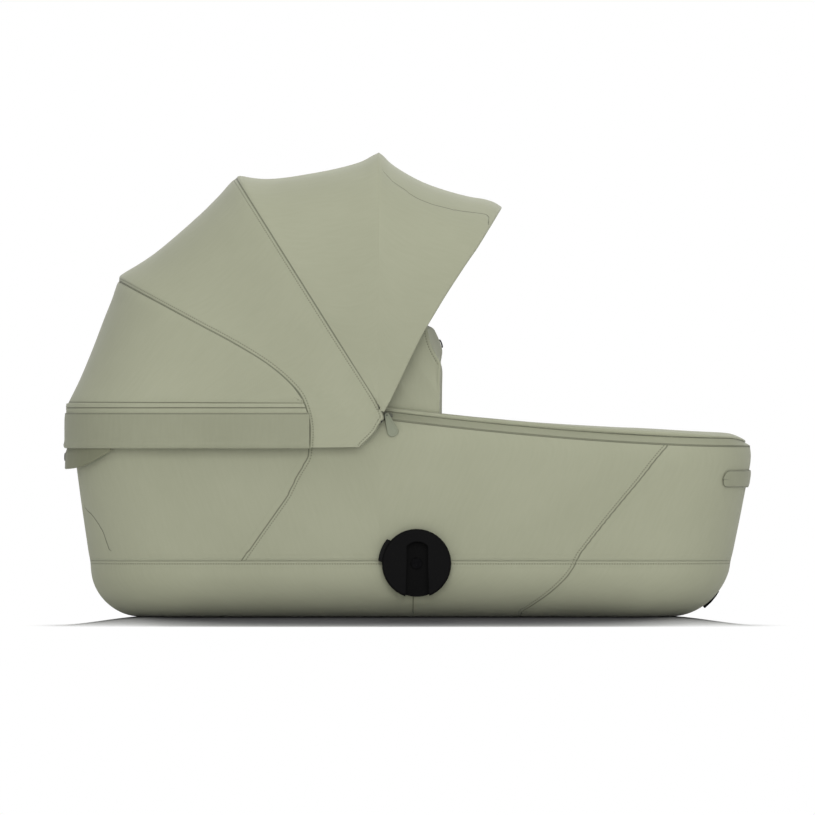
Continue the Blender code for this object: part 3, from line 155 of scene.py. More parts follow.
# Tub cover, lower piece: woven polyester cut as a tray, drawn tight under the shell and sewn to
# the side piece along a stitched seam. The cloth is matt, with a soft bloom at grazing angles.
HINGE_X, HINGE_Z = -0.0335, 0.230    # the pin that the bows turn on
TUB_HEAD_X, TUB_FOOT_X, TUB_HALF_WIDTH = -0.3703, 0.3765, 0.188    # at the double seam
TUB_PLAN_CORNER = 0.100
HEAD_LEAN_SHARE, FOOT_LEAN_SHARE, SIDE_LEAN_SHARE = 0.139, 0.200, 0.02
HEAD_BOTTOM_RADIUS, FOOT_BOTTOM_RADIUS, SIDE_BOTTOM_RADIUS = 0.050, 0.058, 0.052
SEAM_Z = 0.065           # the double seam between the two pieces
SHOULDER_DROP, SHOULDER_RADIUS = 0.0265, 0.082    # the walls curve inwards this far below the rim
RIM_HEAD_Z, RIM_FOOT_Z, RIM_LEVEL_X, RIM_DIP_POWER = 0.231, 0.1985, 0.391, 1.65
COVER_CLOTH = 0.0025     # thickness
COVER = (0.0, 0.0, 0.0)  # a layer: how far in it lies, the height of its floor, and by how much its
                         # bottom curve is tighter
COVER_HOLE = (0.0102, 0.0621, 0.0386)    # round the adapter: its centre in x and z, and a radius
STITCH_PITCH = 0.0030    # ten stitches to 30 mm
STITCH_OFFSET = 0.0034   # the stitches run this far beside the fold
THREAD_SPACING = 0.0017  # the real threads are 0.35 mm apart, drawn coarser so that they show
CLEAR_OF_SEAMS = 1.0     # distance that is written where no seam is near
FAINT = 0.0008           # added to the distance from a seam that is pressed flat
SEAM_MARGIN = 0.03       # points further than this from a seam's box are left out
EDGE_TURN = math.radians(60)


def rim_z(x):
    """Height of the rim, which dips towards the foot end."""
    left = 1 - np.clip((x - HINGE_X) / (RIM_LEVEL_X - HINGE_X), 0, 1)
    return RIM_FOOT_Z + (RIM_HEAD_Z - RIM_FOOT_Z) * left ** RIM_DIP_POWER


def bottom_inset(z, radius, layer):
    """How far the curve up from the floor draws a wall in at a height."""
    bend = radius - layer[2]
    rise = np.clip(layer[1] + bend - z, 0, bend)
    return bend - np.sqrt(bend ** 2 - rise ** 2)


def shoulder_inset(x, z):
    """How far the wall curves inwards above its shoulder."""
    return np.maximum(z - rim_z(x) + SHOULDER_DROP, 0) ** 2 / (2 * SHOULDER_RADIUS)


def tub_extent(z, layer=COVER, more=0.0):
    """Head, foot, half width and corner radius of the tub's plan at a height."""
    up = z - SEAM_Z
    inset = layer[0] + more
    head = TUB_HEAD_X - HEAD_LEAN_SHARE * up + inset + bottom_inset(z, HEAD_BOTTOM_RADIUS, layer)
    foot = TUB_FOOT_X + FOOT_LEAN_SHARE * up - inset - bottom_inset(z, FOOT_BOTTOM_RADIUS, layer)
    side_inset = inset + bottom_inset(z, SIDE_BOTTOM_RADIUS, layer)
    return head, foot, TUB_HALF_WIDTH + SIDE_LEAN_SHARE * up - side_inset, TUB_PLAN_CORNER - side_inset


def end_weights(straight, corner, end):
    """Where the points of one end lie: along a side, round a corner, across the end and back."""
    turn = np.linspace(0, math.pi / 2, corner + 1)
    side = np.arange(straight) / straight
    across = 2 * np.arange(1, end) / end
    along = np.concatenate([side, np.ones(2 * corner + 1 + end), side[::-1]])
    out = np.concatenate([0 * side, np.sin(turn), np.ones(end - 1), np.sin(turn)[::-1], 0 * side])
    swing = np.concatenate([0 * side, 1 - np.cos(turn), np.ones(end - 1),
                            1 + np.cos(turn)[::-1], 0 * side + 2])
    over = np.concatenate([0 * side, 0 * turn, across, 0 * turn + 2, 0 * side + 2])
    return np.stack([along, out, swing, over])


def end_outline(weights, start, end, away, half_width, corner):
    """Plan of one end by its weights: x and y of each point."""
    along, out, swing, over = weights
    turn = end - away * corner
    x = start + along * (turn - start) + away * corner * out
    return x, corner * swing - half_width + over * (half_width - corner)


FOOT_WEIGHTS = end_weights(70, 30, 34)
ROUND_WEIGHTS = np.concatenate([FOOT_WEIGHTS, FOOT_WEIGHTS[:, ::-1][:, 1:-1]], axis=1)
ROUND_AWAY = np.concatenate([np.ones(FOOT_WEIGHTS.shape[1]), -np.ones(FOOT_WEIGHTS.shape[1] - 2)])


def tub_ring(height_at, layer=COVER, more=0.0, weights=ROUND_WEIGHTS, away=ROUND_AWAY, start=HINGE_X):
    """Line round the tub at a height that may change with x."""
    def outline(z, inset):
        head, foot, half_width, corner = tub_extent(z, layer, inset)
        return end_outline(weights, start, np.where(away > 0, foot, head), away, half_width, corner)
    x, y = outline(height_at(np.array(HINGE_X)), more)
    z = height_at(x) + 0 * x
    x, y = outline(z, more + shoulder_inset(x, z))
    return np.stack([x, y, z], axis=1)


def level_at(z):
    """The same height all round."""
    return lambda x: z + 0 * x


def below_rim(drop):
    """A height that follows the rim."""
    return lambda x: rim_z(x) - drop


def wall_share(share):
    """A height by its share of the way from the double seam up to the shoulder."""
    return lambda x: SEAM_Z + (rim_z(x) - SHOULDER_DROP - SEAM_Z) * share


def pan_rows(layer, steps):
    """Rows of the tub's floor, from the middle outwards, and of the curve up to the walls."""
    bend = FOOT_BOTTOM_RADIUS - layer[2]
    edge = tub_ring(level_at(layer[1]), layer)
    middle = np.array([(TUB_HEAD_X + TUB_FOOT_X) / 2, 0, layer[1]])
    rows = [middle + (edge - middle) * share for share in (0.001, 0.3, 0.6, 0.85, 0.96)]
    for step in range(steps + 1):
        z = layer[1] + bend * (1 - math.cos(math.pi / 2 * step / steps))
        rows.append(tub_ring(level_at(z), layer))
    return rows


def smooth_line(points, steps):
    """Smooth curve through points, with so many steps from one to the next."""
    given = np.asarray(points, float)
    given = np.vstack([2 * given[0] - given[1], given, 2 * given[-1] - given[-2]])
    t = np.arange(steps)[:, None] / steps
    parts = []
    for a, b, c, d in zip(given, given[1:], given[2:], given[3:]):
        bent = 2 * b + (c - a) * t + (2 * a - 5 * b + 4 * c - d) * t ** 2 + (3 * b - a - 3 * c + d) * t ** 3
        parts.append(bent / 2)
    return np.vstack(parts + [given[-2][None]])


def on_surface(grid, path, side):
    """Points of a path drawn in side view, laid on that side of a surface."""
    points = grid.reshape(-1, 3)
    points = points[points[:, 1] * side > 0]
    nearest = [np.argmin((points[:, 0] - x) ** 2 + (points[:, 2] - z) ** 2) for x, z in path]
    across = points[nearest, 1]
    across = np.convolve(np.pad(across, 2, "edge"), np.ones(5) / 5, "valid")
    return np.stack([path[:, 0], across, path[:, 1]], axis=1)


def both_sides(grid, path, kind, steps=6):
    """A seam on the near side and its mirror image on the far side, stitched on the left of its run.
    It meets other seams, so it is marked apart from them as a cross seam."""
    line = smooth_line(path, steps)
    near, far = on_surface(grid, line, -1), on_surface(grid, line, 1)
    return [(near, kind, "cross"), (far[::-1], kind, "cross")]


def closed_line(ring):
    """A ring of points, with its first one again at its end."""
    return np.vstack([ring, ring[:1]])


def seam_field(points, normals, seams):
    """Distance of each point from the nearest seam, with a sign, and how far along the seam it is.
    A seam is a line and a kind: stitched, edge (stitched, on the cloth's own edge), plain, faint or
    held, which draws the cloth in but leaves no line."""
    nearest = np.full(len(points), CLEAR_OF_SEAMS)
    run = np.full(len(points), -1.0)
    for line, kind, *_ in seams:
        line = np.asarray(line, float)
        low, high = line.min(0) - SEAM_MARGIN, line.max(0) + SEAM_MARGIN
        close = np.where(((points > low) & (points < high)).all(1))[0]
        open_ended = np.linalg.norm(line[0] - line[-1]) > 1e-4
        gone = 0.0
        for at, (a, b) in enumerate(zip(line, line[1:])):
            ahead = b - a
            length = np.linalg.norm(ahead)
            if length < 1e-7 or not len(close):
                continue
            share = (points[close] - a) @ ahead / length ** 2
            past = (share < -0.5) & (at == 0) | (share > 1.5) & (at == len(line) - 2)
            share = np.clip(share, 0, 1)
            off = points[close] - a - share[:, None] * ahead
            far = np.linalg.norm(off, axis=1) + (FAINT if kind == "faint" else 0.0)
            sign = np.where(np.einsum("ij,ij->i", np.cross(ahead, off), normals[close]) > 0, 1, -1)
            if kind == "edge":
                sign = 1
            better = (far < np.abs(nearest[close])) & ~(past & open_ended)
            found = close[better]
            nearest[found] = (far * sign)[better]
            run[found] = gone + share[better] * length if kind in ("stitched", "edge") else -1.0
            gone += length
    return nearest, run


def outward(grid, closed, inward):
    """Unit normals of a grid of points, rows by columns."""
    if closed:
        across = np.roll(grid, -1, 1) - np.roll(grid, 1, 1)
    else:
        across = np.gradient(grid, axis=1)
    normals = np.cross(across, np.gradient(grid, axis=0)) * (-1 if inward else 1)
    length = np.linalg.norm(normals, axis=2, keepdims=True)
    return normals / np.maximum(length, 1e-12)


def ripple(points, size, seed):
    """Smooth rise and fall between about -1 and 1, the same in each run."""
    away = Vector((seed, 2.0 * seed, -seed))
    flat = points.reshape(-1, 3) / size
    values = [noise.noise(Vector(point) + away) for point in flat]
    return np.array(values).reshape(points.shape[:-1]) * 1.6


def soften(grid, seams, closed=False, inward=False, swell=0.0006, size=0.09, tuck=0.0007, reach=0.008,
           seed=1.0):
    """Let cloth swell a little between its seams, and draw it in along them."""
    normals = outward(grid, closed, inward)
    distance = seam_field(grid.reshape(-1, 3), normals.reshape(-1, 3), seams)[0]
    distance = distance.reshape(grid.shape[:2])
    free = 1 - np.exp(-(distance / (2 * reach)) ** 2)
    lift = swell * ripple(grid, size, seed) * free - tuck * np.exp(-(distance / reach) ** 2)
    return grid + normals * lift[..., None]


def tube_faces(index):
    """Faces between each row of points and the next, and between the last row and the first."""
    above = np.roll(index, -1, 0)
    return np.stack([index[:, :-1], index[:, 1:], above[:, 1:], above[:, :-1]], axis=2).reshape(-1, 4)


def cloth_mesh(name, grid, thickness, closed=False, inward=False, turned=(1, 1), seams=(), hole=None):
    """Sheet of cloth from a grid of points on its outer face, with turned edges, its seams marked in
    attributes for the material, and its lay as a cloth in metres in the UV map."""
    normals = outward(grid, closed, inward)
    marks = []
    for letter, length in (("", 2), ("_cross", 3)):     # a cross seam has a third item
        drawn = [seam for seam in seams if seam[1] != "held" and len(seam) == length]
        distance, run = seam_field(grid.reshape(-1, 3), normals.reshape(-1, 3), drawn)
        marks += [("seam" + letter, distance, CLEAR_OF_SEAMS),
                  ("near" + letter, np.abs(distance), CLEAR_OF_SEAMS), ("run" + letter, run, -1.0)]
    inner = grid - normals * thickness
    rims = []
    for last, beside, under, turn in ((grid[-1], grid[-2], inner[-1], turned[1]),
                                      (grid[0], grid[1], inner[0], turned[0])):
        past = last - beside
        past = past / np.maximum(np.linalg.norm(past, axis=1, keepdims=True), 1e-9)
        rims.append(((last + under) / 2 + past * thickness / 2 * turn)[None])
    sleeve = np.concatenate([grid, rims[0], inner[::-1], rims[1]])
    rows, columns = grid.shape[:2]

    wide = np.concatenate([grid, grid[:, :1]], axis=1) if closed else grid
    u = np.cumsum(np.linalg.norm(np.diff(wide, axis=1, prepend=wide[:, :1]), axis=2), axis=1)
    u = u - u[:, u.shape[1] // 2][:, None]
    v = np.cumsum(np.linalg.norm(np.diff(wide, axis=0, prepend=wide[:1]), axis=2), axis=0)
    flat = np.stack([u, v], axis=2)
    flat = np.concatenate([flat, flat[-1:], flat[::-1], flat[:1]])

    index = np.arange(sleeve.shape[0] * columns).reshape(-1, columns)
    if closed:
        index = np.concatenate([index, index[:, :1]], axis=1)
    quads = tube_faces(index)
    above = np.roll(flat, -1, 0)
    corners = np.stack([flat[:, :-1], flat[:, 1:], above[:, 1:], above[:, :-1]], axis=2).reshape(-1, 4, 2)
    if inward:
        quads, corners = quads[:, ::-1], corners[:, ::-1]
    points = sleeve.reshape(-1, 3).copy()
    if hole:
        off = points[:, [0, 2]] - np.array(hole[:2])
        far = np.linalg.norm(off, axis=1)
        inside = (far < hole[2]) & (np.abs(points[:, 1]) > TUB_HALF_WIDTH / 2)
        cut = inside[quads].any(1)
        border = np.intersect1d(quads[cut].ravel(), quads[~cut].ravel())
        points[border, 0] = hole[0] + off[border, 0] * hole[2] / far[border]
        points[border, 2] = hole[1] + off[border, 1] * hole[2] / far[border]
        quads, corners = quads[~cut], corners[~cut]
    faces, places = quads.tolist(), corners.reshape(-1, 2).tolist()
    if not closed:
        for column, turn in ((0, 1), (columns - 1, -1)):
            if inward:
                turn = -turn
            for row in range(rows - 1):
                ring = [index[row, column], index[row + 1, column], index[2 * rows - row - 1, column],
                        index[2 * rows - row, column]]
                faces.append([int(at) for at in ring[::turn]])
                places += [flat[row, column].tolist()] * 4
            for ring in ([index[rows - 1, column], index[rows, column], index[rows + 1, column]],
                         [index[2 * rows + 1, column], index[0, column], index[2 * rows, column]]):
                faces.append([int(at) for at in ring[::turn]])
                places += [flat[0, column].tolist()] * 3

    mesh = bpy.data.meshes.new(name)
    mesh.from_pydata(points.tolist(), [], faces)
    mesh.uv_layers.new(name="cloth").data.foreach_set("uv", np.array(places, np.float32).ravel())
    for key, values, clear in marks:
        filled = np.full(len(points), clear, np.float32)
        filled[:rows * columns] = values
        mesh.attributes.new(key, "FLOAT", "POINT").data.foreach_set("value", filled)
    mesh.update()
    return mesh


def fit(name, mesh, material, body, stands_for):
    """Put a piece on its body, in place of the solids that it stands for."""
    piece = bpy.data.objects.new(name, mesh)
    bpy.context.scene.collection.objects.link(piece)
    mesh.materials.append(material)
    mesh.shade_smooth()
    mesh.set_sharp_from_angle(angle=EDGE_TURN)
    if body:
        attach(piece, body)
    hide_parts(*stands_for)
    return piece


LEAST_CUT, LEAST_AREA_SHARE = 0.0102, 0.31    # the least that a sheet may be declared as


def declare_cloth(grid):
    """Work out what the sheet was cut to: the longest of its rows and columns, and its area. Nothing is kept
    or given back.
    """
    wide = np.linalg.norm(np.diff(grid, axis=1), axis=2).sum(1).max()
    long = max(np.linalg.norm(np.diff(grid, axis=0), axis=2).sum(0).max(), LEAST_CUT)
    across = np.cross(grid[1:, 1:] - grid[:-1, :-1], grid[1:, :-1] - grid[:-1, 1:])
    area = np.linalg.norm(across, axis=2).sum() / 2
    area = min(max(area, LEAST_AREA_SHARE * wide * long), wide * long)


def cloth_piece(name, grid, thickness, material, body, stands_for, slot, held, rests_on, **cut):
    """A sheet of cloth on its body; cut is what cloth_mesh takes."""
    piece = fit(name, cloth_mesh(name, grid, thickness, **cut), material, body, stands_for)
    declare_cloth(grid)
    return piece


def sewing(tree, letter):
    """How much a point lies in a seam's fold, on its thread, in the row that the thread sinks into,
    and how much the cloth puckers there."""
    def maths(operation, first, second):
        settings = {"operation": operation}
        links = {0: first}
        if isinstance(second, float):
            settings[1] = second
        else:
            links[1] = second
        return add(tree, "ShaderNodeMath", settings, links)[0]

    seam, near, run = [add(tree, "ShaderNodeAttribute", {"attribute_name": key + letter})["Fac"]
                       for key in ("seam", "near", "run")]
    aside = add(tree, "ShaderNodeMapRange", {"From Min": 0.007, "From Max": 0.010, "To Max": 0.02},
                {0: near})[0]
    seam = maths("ADD", seam, aside)
    off = maths("MAXIMUM", maths("ABSOLUTE", seam, 0.0), aside)
    width = {"interpolation_type": "SMOOTHSTEP", "From Min": 0.0002, "From Max": 0.0013}
    fold = add(tree, "ShaderNodeMapRange", width | {"To Min": 1.0, "To Max": 0.0}, {0: off})[0]
    beside = maths("ABSOLUTE", maths("SUBTRACT", seam, STITCH_OFFSET), 0.0)
    thread = {"From Min": 0.0004, "From Max": 0.001, "To Min": 1.0, "To Max": 0.0}
    row = add(tree, "ShaderNodeMapRange", thread, {0: beside})[0]
    count = maths("PINGPONG", maths("DIVIDE", run, STITCH_PITCH), 0.5)
    dash = add(tree, "ShaderNodeMapRange", {"From Min": 0.12, "From Max": 0.24}, {0: count})[0]
    sewn = maths("MULTIPLY", maths("GREATER_THAN", run, -0.5), maths("LESS_THAN", aside, 0.001))
    row = maths("MULTIPLY", row, sewn)
    stitch = maths("MULTIPLY", row, dash)
    gather, stretch = maths("MULTIPLY", run, 110.0), maths("MULTIPLY", seam, 30.0)
    lay = add(tree, "ShaderNodeCombineXYZ", links={0: gather, 1: stretch})
    pucker = add(tree, "ShaderNodeTexNoise", {"Scale": 1.0, "Detail": 1.0}, {"Vector": lay[0]})[0]
    ease = {"From Min": 0.001, "From Max": 0.014, "To Min": 0.5, "To Max": 0.0}
    fade = add(tree, "ShaderNodeMapRange", ease, {0: off})[0]
    pierced = maths("SUBTRACT", row, stitch)
    return fold, stitch, pierced, maths("MULTIPLY", pucker, maths("MULTIPLY", fade, sewn))


def woven_polyester(name, face, worn, deep, sheen=0.18, relief=0.02):
    """Woven polyester: a plain weave, matt, with faint slubs, tucked seams and lockstitched thread.
    Its seam folds and needle holes are darkened towards deep as painted shade, and its stitches a little.
    """
    made, tree, shader = start_finish(name, {"Roughness": 0.88, "IOR": 1.45, "Specular IOR Level": 0.25,
                                             "Sheen Weight": sheen, "Sheen Roughness": 0.45})
    lay = add(tree, "ShaderNodeUVMap", {"uv_map": "cloth"})["UV"]
    part = add(tree, "ShaderNodeSeparateXYZ", links={0: lay})
    pitch = {"operation": "MULTIPLY", 1: math.tau / THREAD_SPACING}
    warp = add(tree, "ShaderNodeMath", pitch, {0: part[0]})[0]
    weft = add(tree, "ShaderNodeMath", pitch, {0: part[1]})[0]
    warp = add(tree, "ShaderNodeMath", {"operation": "COSINE"}, {0: warp})[0]
    weft = add(tree, "ShaderNodeMath", {"operation": "COSINE"}, {0: weft})[0]
    weave = add(tree, "ShaderNodeMath", {"operation": "MULTIPLY"}, {0: warp, 1: weft})[0]
    patch = add(tree, "ShaderNodeTexNoise", {"Scale": 7.0, "Detail": 2.0}, {"Vector": lay})[0]
    drawn = add(tree, "ShaderNodeVectorMath", {"operation": "MULTIPLY", 1: (260.0, 40.0, 1.0)}, {0: lay})[0]
    slub = add(tree, "ShaderNodeTexNoise", {"Scale": 1.0, "Detail": 1.0}, {"Vector": drawn})[0]
    mixed = add(tree, "ShaderNodeMix", {0: 0.3}, {2: patch, 3: slub})[0]
    tone = add(tree, "ShaderNodeMapRange", {"From Min": 0.35, "From Max": 0.65}, {0: mixed})[0]

    fold, stitch, pierced, pucker = [
        add(tree, "ShaderNodeMath", {"operation": "MAXIMUM"}, {0: one, 1: other})[0]
        for one, other in zip(sewing(tree, ""), sewing(tree, "_cross"))]
    crease = add(tree, "ShaderNodeTexNoise", {"Scale": 16.0, "Detail": 2.0}, {"Vector": lay})[0]

    height = add(tree, "ShaderNodeMath", {"operation": "MULTIPLY_ADD", 1: relief}, {0: weave, 2: pucker})[0]
    for amount, source in ((-0.4, fold), (-0.10, stitch), (-0.35, pierced), (0.4, crease)):
        deeper = {"operation": "MULTIPLY_ADD", 1: amount}
        height = add(tree, "ShaderNodeMath", deeper, {0: source, 2: height})[0]
    bump = add(tree, "ShaderNodeBump", {"Distance": 0.001}, {"Height": height})

    colours = {"data_type": "RGBA", 6: linear(face), 7: linear(worn)}
    colour = add(tree, "ShaderNodeMix", colours, {0: tone})[2]
    # Painted shade: the seam folds and needle holes are mixed towards deep, and the stitches a little.
    shade = {"data_type": "RGBA", 7: linear(deep)}
    for source, amount in ((fold, 0.62), (stitch, 0.16), (pierced, 0.5)):
        share = add(tree, "ShaderNodeMath", {"operation": "MULTIPLY", 1: amount}, {0: source})[0]
        colour = add(tree, "ShaderNodeMix", shade, {0: share, 6: colour})[2]
    tree.links.new(colour, shader.inputs["Base Color"])
    tree.links.new(bump[0], shader.inputs["Normal"])
    return made


# The last colour of each woven polyester is the painted shade of its seam folds and needle holes.
sage_polyester = woven_polyester("woven_polyester_sage", "#A8AA93", "#A3A58E", "#4C4E40")

SIDE_SEAM_RING = tub_ring(level_at(SEAM_Z))
FRONT_SEAM = [(0.1227, 0.0015), (0.1425, 0.012), (0.1599, 0.0237), (0.1774, 0.0388), (0.1902, 0.0539),
              (0.1984, 0.0703), (0.2042, 0.0784), (0.2308, 0.1122), (0.2504, 0.1362), (0.2683, 0.1577),
              (0.2862, 0.181), (0.3022, 0.1997)]
HUB_SEAM = [(0.0061, 0.0235), (0.0061, 0.012), (0.0061, 0.003)]

lower_rows = pan_rows(COVER, 18) + [tub_ring(level_at(z)) for z in (0.0605, 0.063, SEAM_Z - 0.0001)]
lower_grid = np.array(lower_rows)
lower_seams = [(closed_line(SIDE_SEAM_RING)[::-1], "stitched")]
lower_seams += both_sides(lower_grid, FRONT_SEAM, "stitched") + both_sides(lower_grid, HUB_SEAM, "plain")
lower_grid[8:] = soften(lower_grid, lower_seams, closed=True, swell=0.0004)[8:]
cloth_piece("tub_lower_cloth", lower_grid, COVER_CLOTH, sage_polyester, "tub", ["cover_lower"], "sage_cloth",
            "stretched", ["tub_shell"], closed=True, turned=(0, 0.6), seams=lower_seams, hole=COVER_HOLE)


# Tub cover, side piece: the same cloth in a band round the tub, pieced with a slanting seam
# behind the hinge and another towards the foot end. Its top edge is turned over the rim frame.
REAR_SEAM = [(-0.1147, 0.2), (-0.1162, 0.1849), (-0.1267, 0.1671), (-0.1356, 0.1493), (-0.143, 0.136),
             (-0.1722, 0.0947), (-0.1927, 0.0655)]
HEAD_SEAM = [(-0.3761, 0.1262), (-0.368, 0.1185), (-0.3585, 0.106), (-0.352, 0.0925), (-0.3475, 0.0784)]

side_rows = [tub_ring(wall_share(share)) for share in np.linspace(0.0007, 1, 32)]
side_rows += [tub_ring(below_rim(SHOULDER_DROP * (1 - share))) for share in np.linspace(0.1, 1, 10)]
side_grid = np.array(side_rows)
side_seams = [(closed_line(SIDE_SEAM_RING)[::-1], "stitched"),
              (closed_line(tub_ring(below_rim(0.0))), "plain")]
side_seams += both_sides(side_grid, REAR_SEAM, "stitched") + both_sides(side_grid, FRONT_SEAM, "stitched")
side_seams += both_sides(side_grid, HEAD_SEAM, "plain")
side_grid = soften(side_grid, side_seams, closed=True)
cloth_piece("tub_side_cloth", side_grid, COVER_CLOTH, sage_polyester, "tub", ["cover_upper"], "sage_cloth",
            "stretched", ["tub_shell", "rim_frame"], closed=True, turned=(0.6, 1), seams=side_seams,
            hole=COVER_HOLE)


# Liner: a quilted tray of brushed cotton jersey over thin wadding, hung from the rim frame and
# resting on the shell's floor. The quilting rows pull it into soft upright rolls.
LINER = (0.0175, 0.0069, 0.016)     # a layer, as COVER is
LINER_CLOTH = 0.003
LINER_HANG = -0.0004     # at the rim it lies this much further out
QUILT_PITCH = 0.042      # between the sewn rows round the wall
QUILT_DEPTH = 0.0035
QUILT_EDGE = 0.03        # the rolls start this far up, and flatten over as much at both ends


def brushed_jersey(name, face, shade, loop):
    """Brushed cotton jersey: knitted, with a short nap that blurs its ribs and softens its shading."""
    made, tree, shader = start_finish(name, {"Roughness": 0.95, "IOR": 1.45, "Specular IOR Level": 0.2,
                                             "Sheen Weight": 0.35, "Sheen Roughness": 0.6})
    place = add(tree, "ShaderNodeTexCoord")["Object"]
    nap = add(tree, "ShaderNodeTexNoise", {"Scale": 1 / loop, "Detail": 3.0}, {"Vector": place})[0]
    cloud = add(tree, "ShaderNodeTexNoise", {"Scale": 22.0, "Detail": 2.0}, {"Vector": place})[0]
    rib = add(tree, "ShaderNodeTexVoronoi", {"Scale": 1 / loop}, {"Vector": place})[0]
    colours = {"data_type": "RGBA", 6: linear(face), 7: linear(shade)}
    colour = add(tree, "ShaderNodeMix", colours, {0: cloud})[2]
    height = add(tree, "ShaderNodeMath", {"operation": "MULTIPLY_ADD", 1: 0.5}, {0: rib, 2: nap})[0]
    bump = add(tree, "ShaderNodeBump", {"Distance": 0.0003}, {"Height": height})
    tree.links.new(colour, shader.inputs["Base Color"])
    tree.links.new(bump[0], shader.inputs["Normal"])
    return made


liner_rows = pan_rows(LINER, 12) + [tub_ring(wall_share(share), LINER) for share in np.linspace(0.04, 1, 24)]
liner_rows += [tub_ring(below_rim(SHOULDER_DROP * (1 - share) + 0.002 * share), LINER, LINER_HANG * share)
               for share in np.linspace(0.15, 1, 7)]
liner_grid = np.array(liner_rows)
liner_run = np.cumsum(np.linalg.norm(np.diff(liner_grid, axis=1, prepend=liner_grid[:, :1]), axis=2), axis=1)
liner_round = liner_run[-12, -1] / round(liner_run[-12, -1] / QUILT_PITCH)
roll = np.abs(np.sin(math.pi * liner_run[-12] / liner_round)) ** 0.6
up_wall = np.clip((liner_grid[:, :, 2] - QUILT_EDGE) / QUILT_EDGE, 0, 1)
to_rim = np.clip((rim_z(liner_grid[:, :, 0]) - liner_grid[:, :, 2]) / QUILT_EDGE, 0.1, 1)
puff = QUILT_DEPTH * roll[None] * (up_wall * to_rim)
liner_soft = liner_grid - outward(liner_grid, True, False) * puff[..., None]
liner_mesh = cloth_mesh("quilted_liner", liner_soft, LINER_CLOTH, closed=True, turned=(0, 1))
liner_jersey = brushed_jersey("brushed_jersey_stone", "#B9BBAF", "#AEB0A3", 0.0016)
liner_piece = fit("quilted_liner", liner_mesh, liner_jersey, "tub", ["liner"])


# Mattress: polyurethane foam in a knitted cover, lying loose on the liner. The foam swells
# against the cover, so its sides bulge and its top is crowned.
MATTRESS_HEAD, MATTRESS_FOOT, MATTRESS_HALF = -0.297, 0.291, 0.125
MATTRESS_LOW, MATTRESS_HIGH = 0.0115, 0.0342
MATTRESS_CORNER = 0.046
MATTRESS_EDGE = 0.004    # height over which its edges are rounded
MATTRESS_VOXEL = 0.005
MATTRESS_PRESSURE = 4.0
MATTRESS_FRAMES = 16     # of the cloth simulation
MATTRESS_CAP = 0.006     # the most that a point may swell
CROWN_SHARE = 0.7        # of the swelling, upwards and downwards
MATTRESS_REST = 0.0104   # the liner's floor


def pad_start(name, head, foot, half_width, low, high, corner):
    """Plain pad with rounded corners, a little smaller than it ends up."""
    ends = np.where(ROUND_AWAY > 0, foot, head)
    x, y = end_outline(ROUND_WEIGHTS, 0.0, ends, ROUND_AWAY, half_width, corner)
    mesh = bpy.data.meshes.new(name)
    middle = np.array([(head + foot) / 2, 0.0])
    rows = []
    for share, z in ((0.02, low), (0.7, low), (0.97, low), (1.0, low + MATTRESS_EDGE),
                     (1.0, high - MATTRESS_EDGE), (0.97, high), (0.7, high), (0.02, high)):
        flat = middle + (np.stack([x, y], axis=1) - middle) * share
        rows.append(np.column_stack([flat, np.full(len(x), z)]))
    points = np.array(rows)
    columns = points.shape[1]
    index = np.arange(points.shape[0] * columns).reshape(-1, columns)
    beside = np.roll(index, -1, 1)
    quads = np.stack([index[:-1], beside[:-1], beside[1:], index[1:]], axis=2).reshape(-1, 4)
    faces = quads.tolist() + [index[0][::-1].tolist(), index[-1].tolist()]
    mesh.from_pydata(points.reshape(-1, 3).tolist(), [], faces)
    mesh.update()
    return mesh


def evaluated_mesh(piece):
    """The piece's mesh as its modifiers leave it."""
    return bpy.data.meshes.new_from_object(piece.evaluated_get(bpy.context.evaluated_depsgraph_get()))


mattress = bpy.data.objects.new("mattress_pad", pad_start("mattress_pad", MATTRESS_HEAD, MATTRESS_FOOT,
                                                          MATTRESS_HALF, MATTRESS_LOW, MATTRESS_HIGH,
                                                          MATTRESS_CORNER))
bpy.context.scene.collection.objects.link(mattress)
remesh = mattress.modifiers.new("even", "REMESH")
remesh.mode = "VOXEL"
remesh.voxel_size = MATTRESS_VOXEL
bpy.context.view_layer.update()
even = evaluated_mesh(mattress)
mattress.modifiers.clear()
mattress.data = even
before = np.array([vertex.co for vertex in even.vertices])
swelling = mattress.modifiers.new("swelling", "CLOTH")
swelling.settings.use_pressure = True
swelling.settings.uniform_pressure_force = MATTRESS_PRESSURE
swelling.settings.effector_weights.gravity = 0.0
for step in range(1, MATTRESS_FRAMES + 1):
    bpy.context.scene.frame_set(step)
swollen = evaluated_mesh(mattress)
mattress.modifiers.clear()
moved = np.array([vertex.co for vertex in swollen.vertices]) - before
reach = np.linalg.norm(moved, axis=1, keepdims=True)
moved = moved * np.minimum(1, MATTRESS_CAP / np.maximum(reach, 1e-9))
moved[:, 2] *= CROWN_SHARE
settled = before + moved
settled[:, 2] = np.maximum(settled[:, 2], MATTRESS_REST)
even.vertices.foreach_set("co", settled.astype(np.float32).ravel())
bpy.context.scene.frame_set(1)
smoother = mattress.modifiers.new("finer", "SUBSURF")
smoother.levels = smoother.render_levels = 1
bpy.context.view_layer.update()
mattress.data = evaluated_mesh(mattress)
mattress.modifiers.clear()
mattress.data.materials.clear()
mattress.data.materials.append(brushed_jersey("knitted_mattress_cover", "#DADAD2", "#D0D0C6", 0.0014))
mattress.data.shade_smooth()
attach(mattress, "tub")
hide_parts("mattress")


# Bows: flat hoops of glass-filled nylon that spread the canopy and turn about one hinge. They show
# inside the hood, satin and dark, with the strip's square edges just broken. The front one, which
# follows its hem, has its own section after the canopy.
bow_nylon = moulded_plastic("moulded_nylon_graphite", "#26282A", "#303234", 0.42)
dress(["rear_bow", "mid_rear_bow", "mid_front_bow"], bow_nylon, 0.0004)


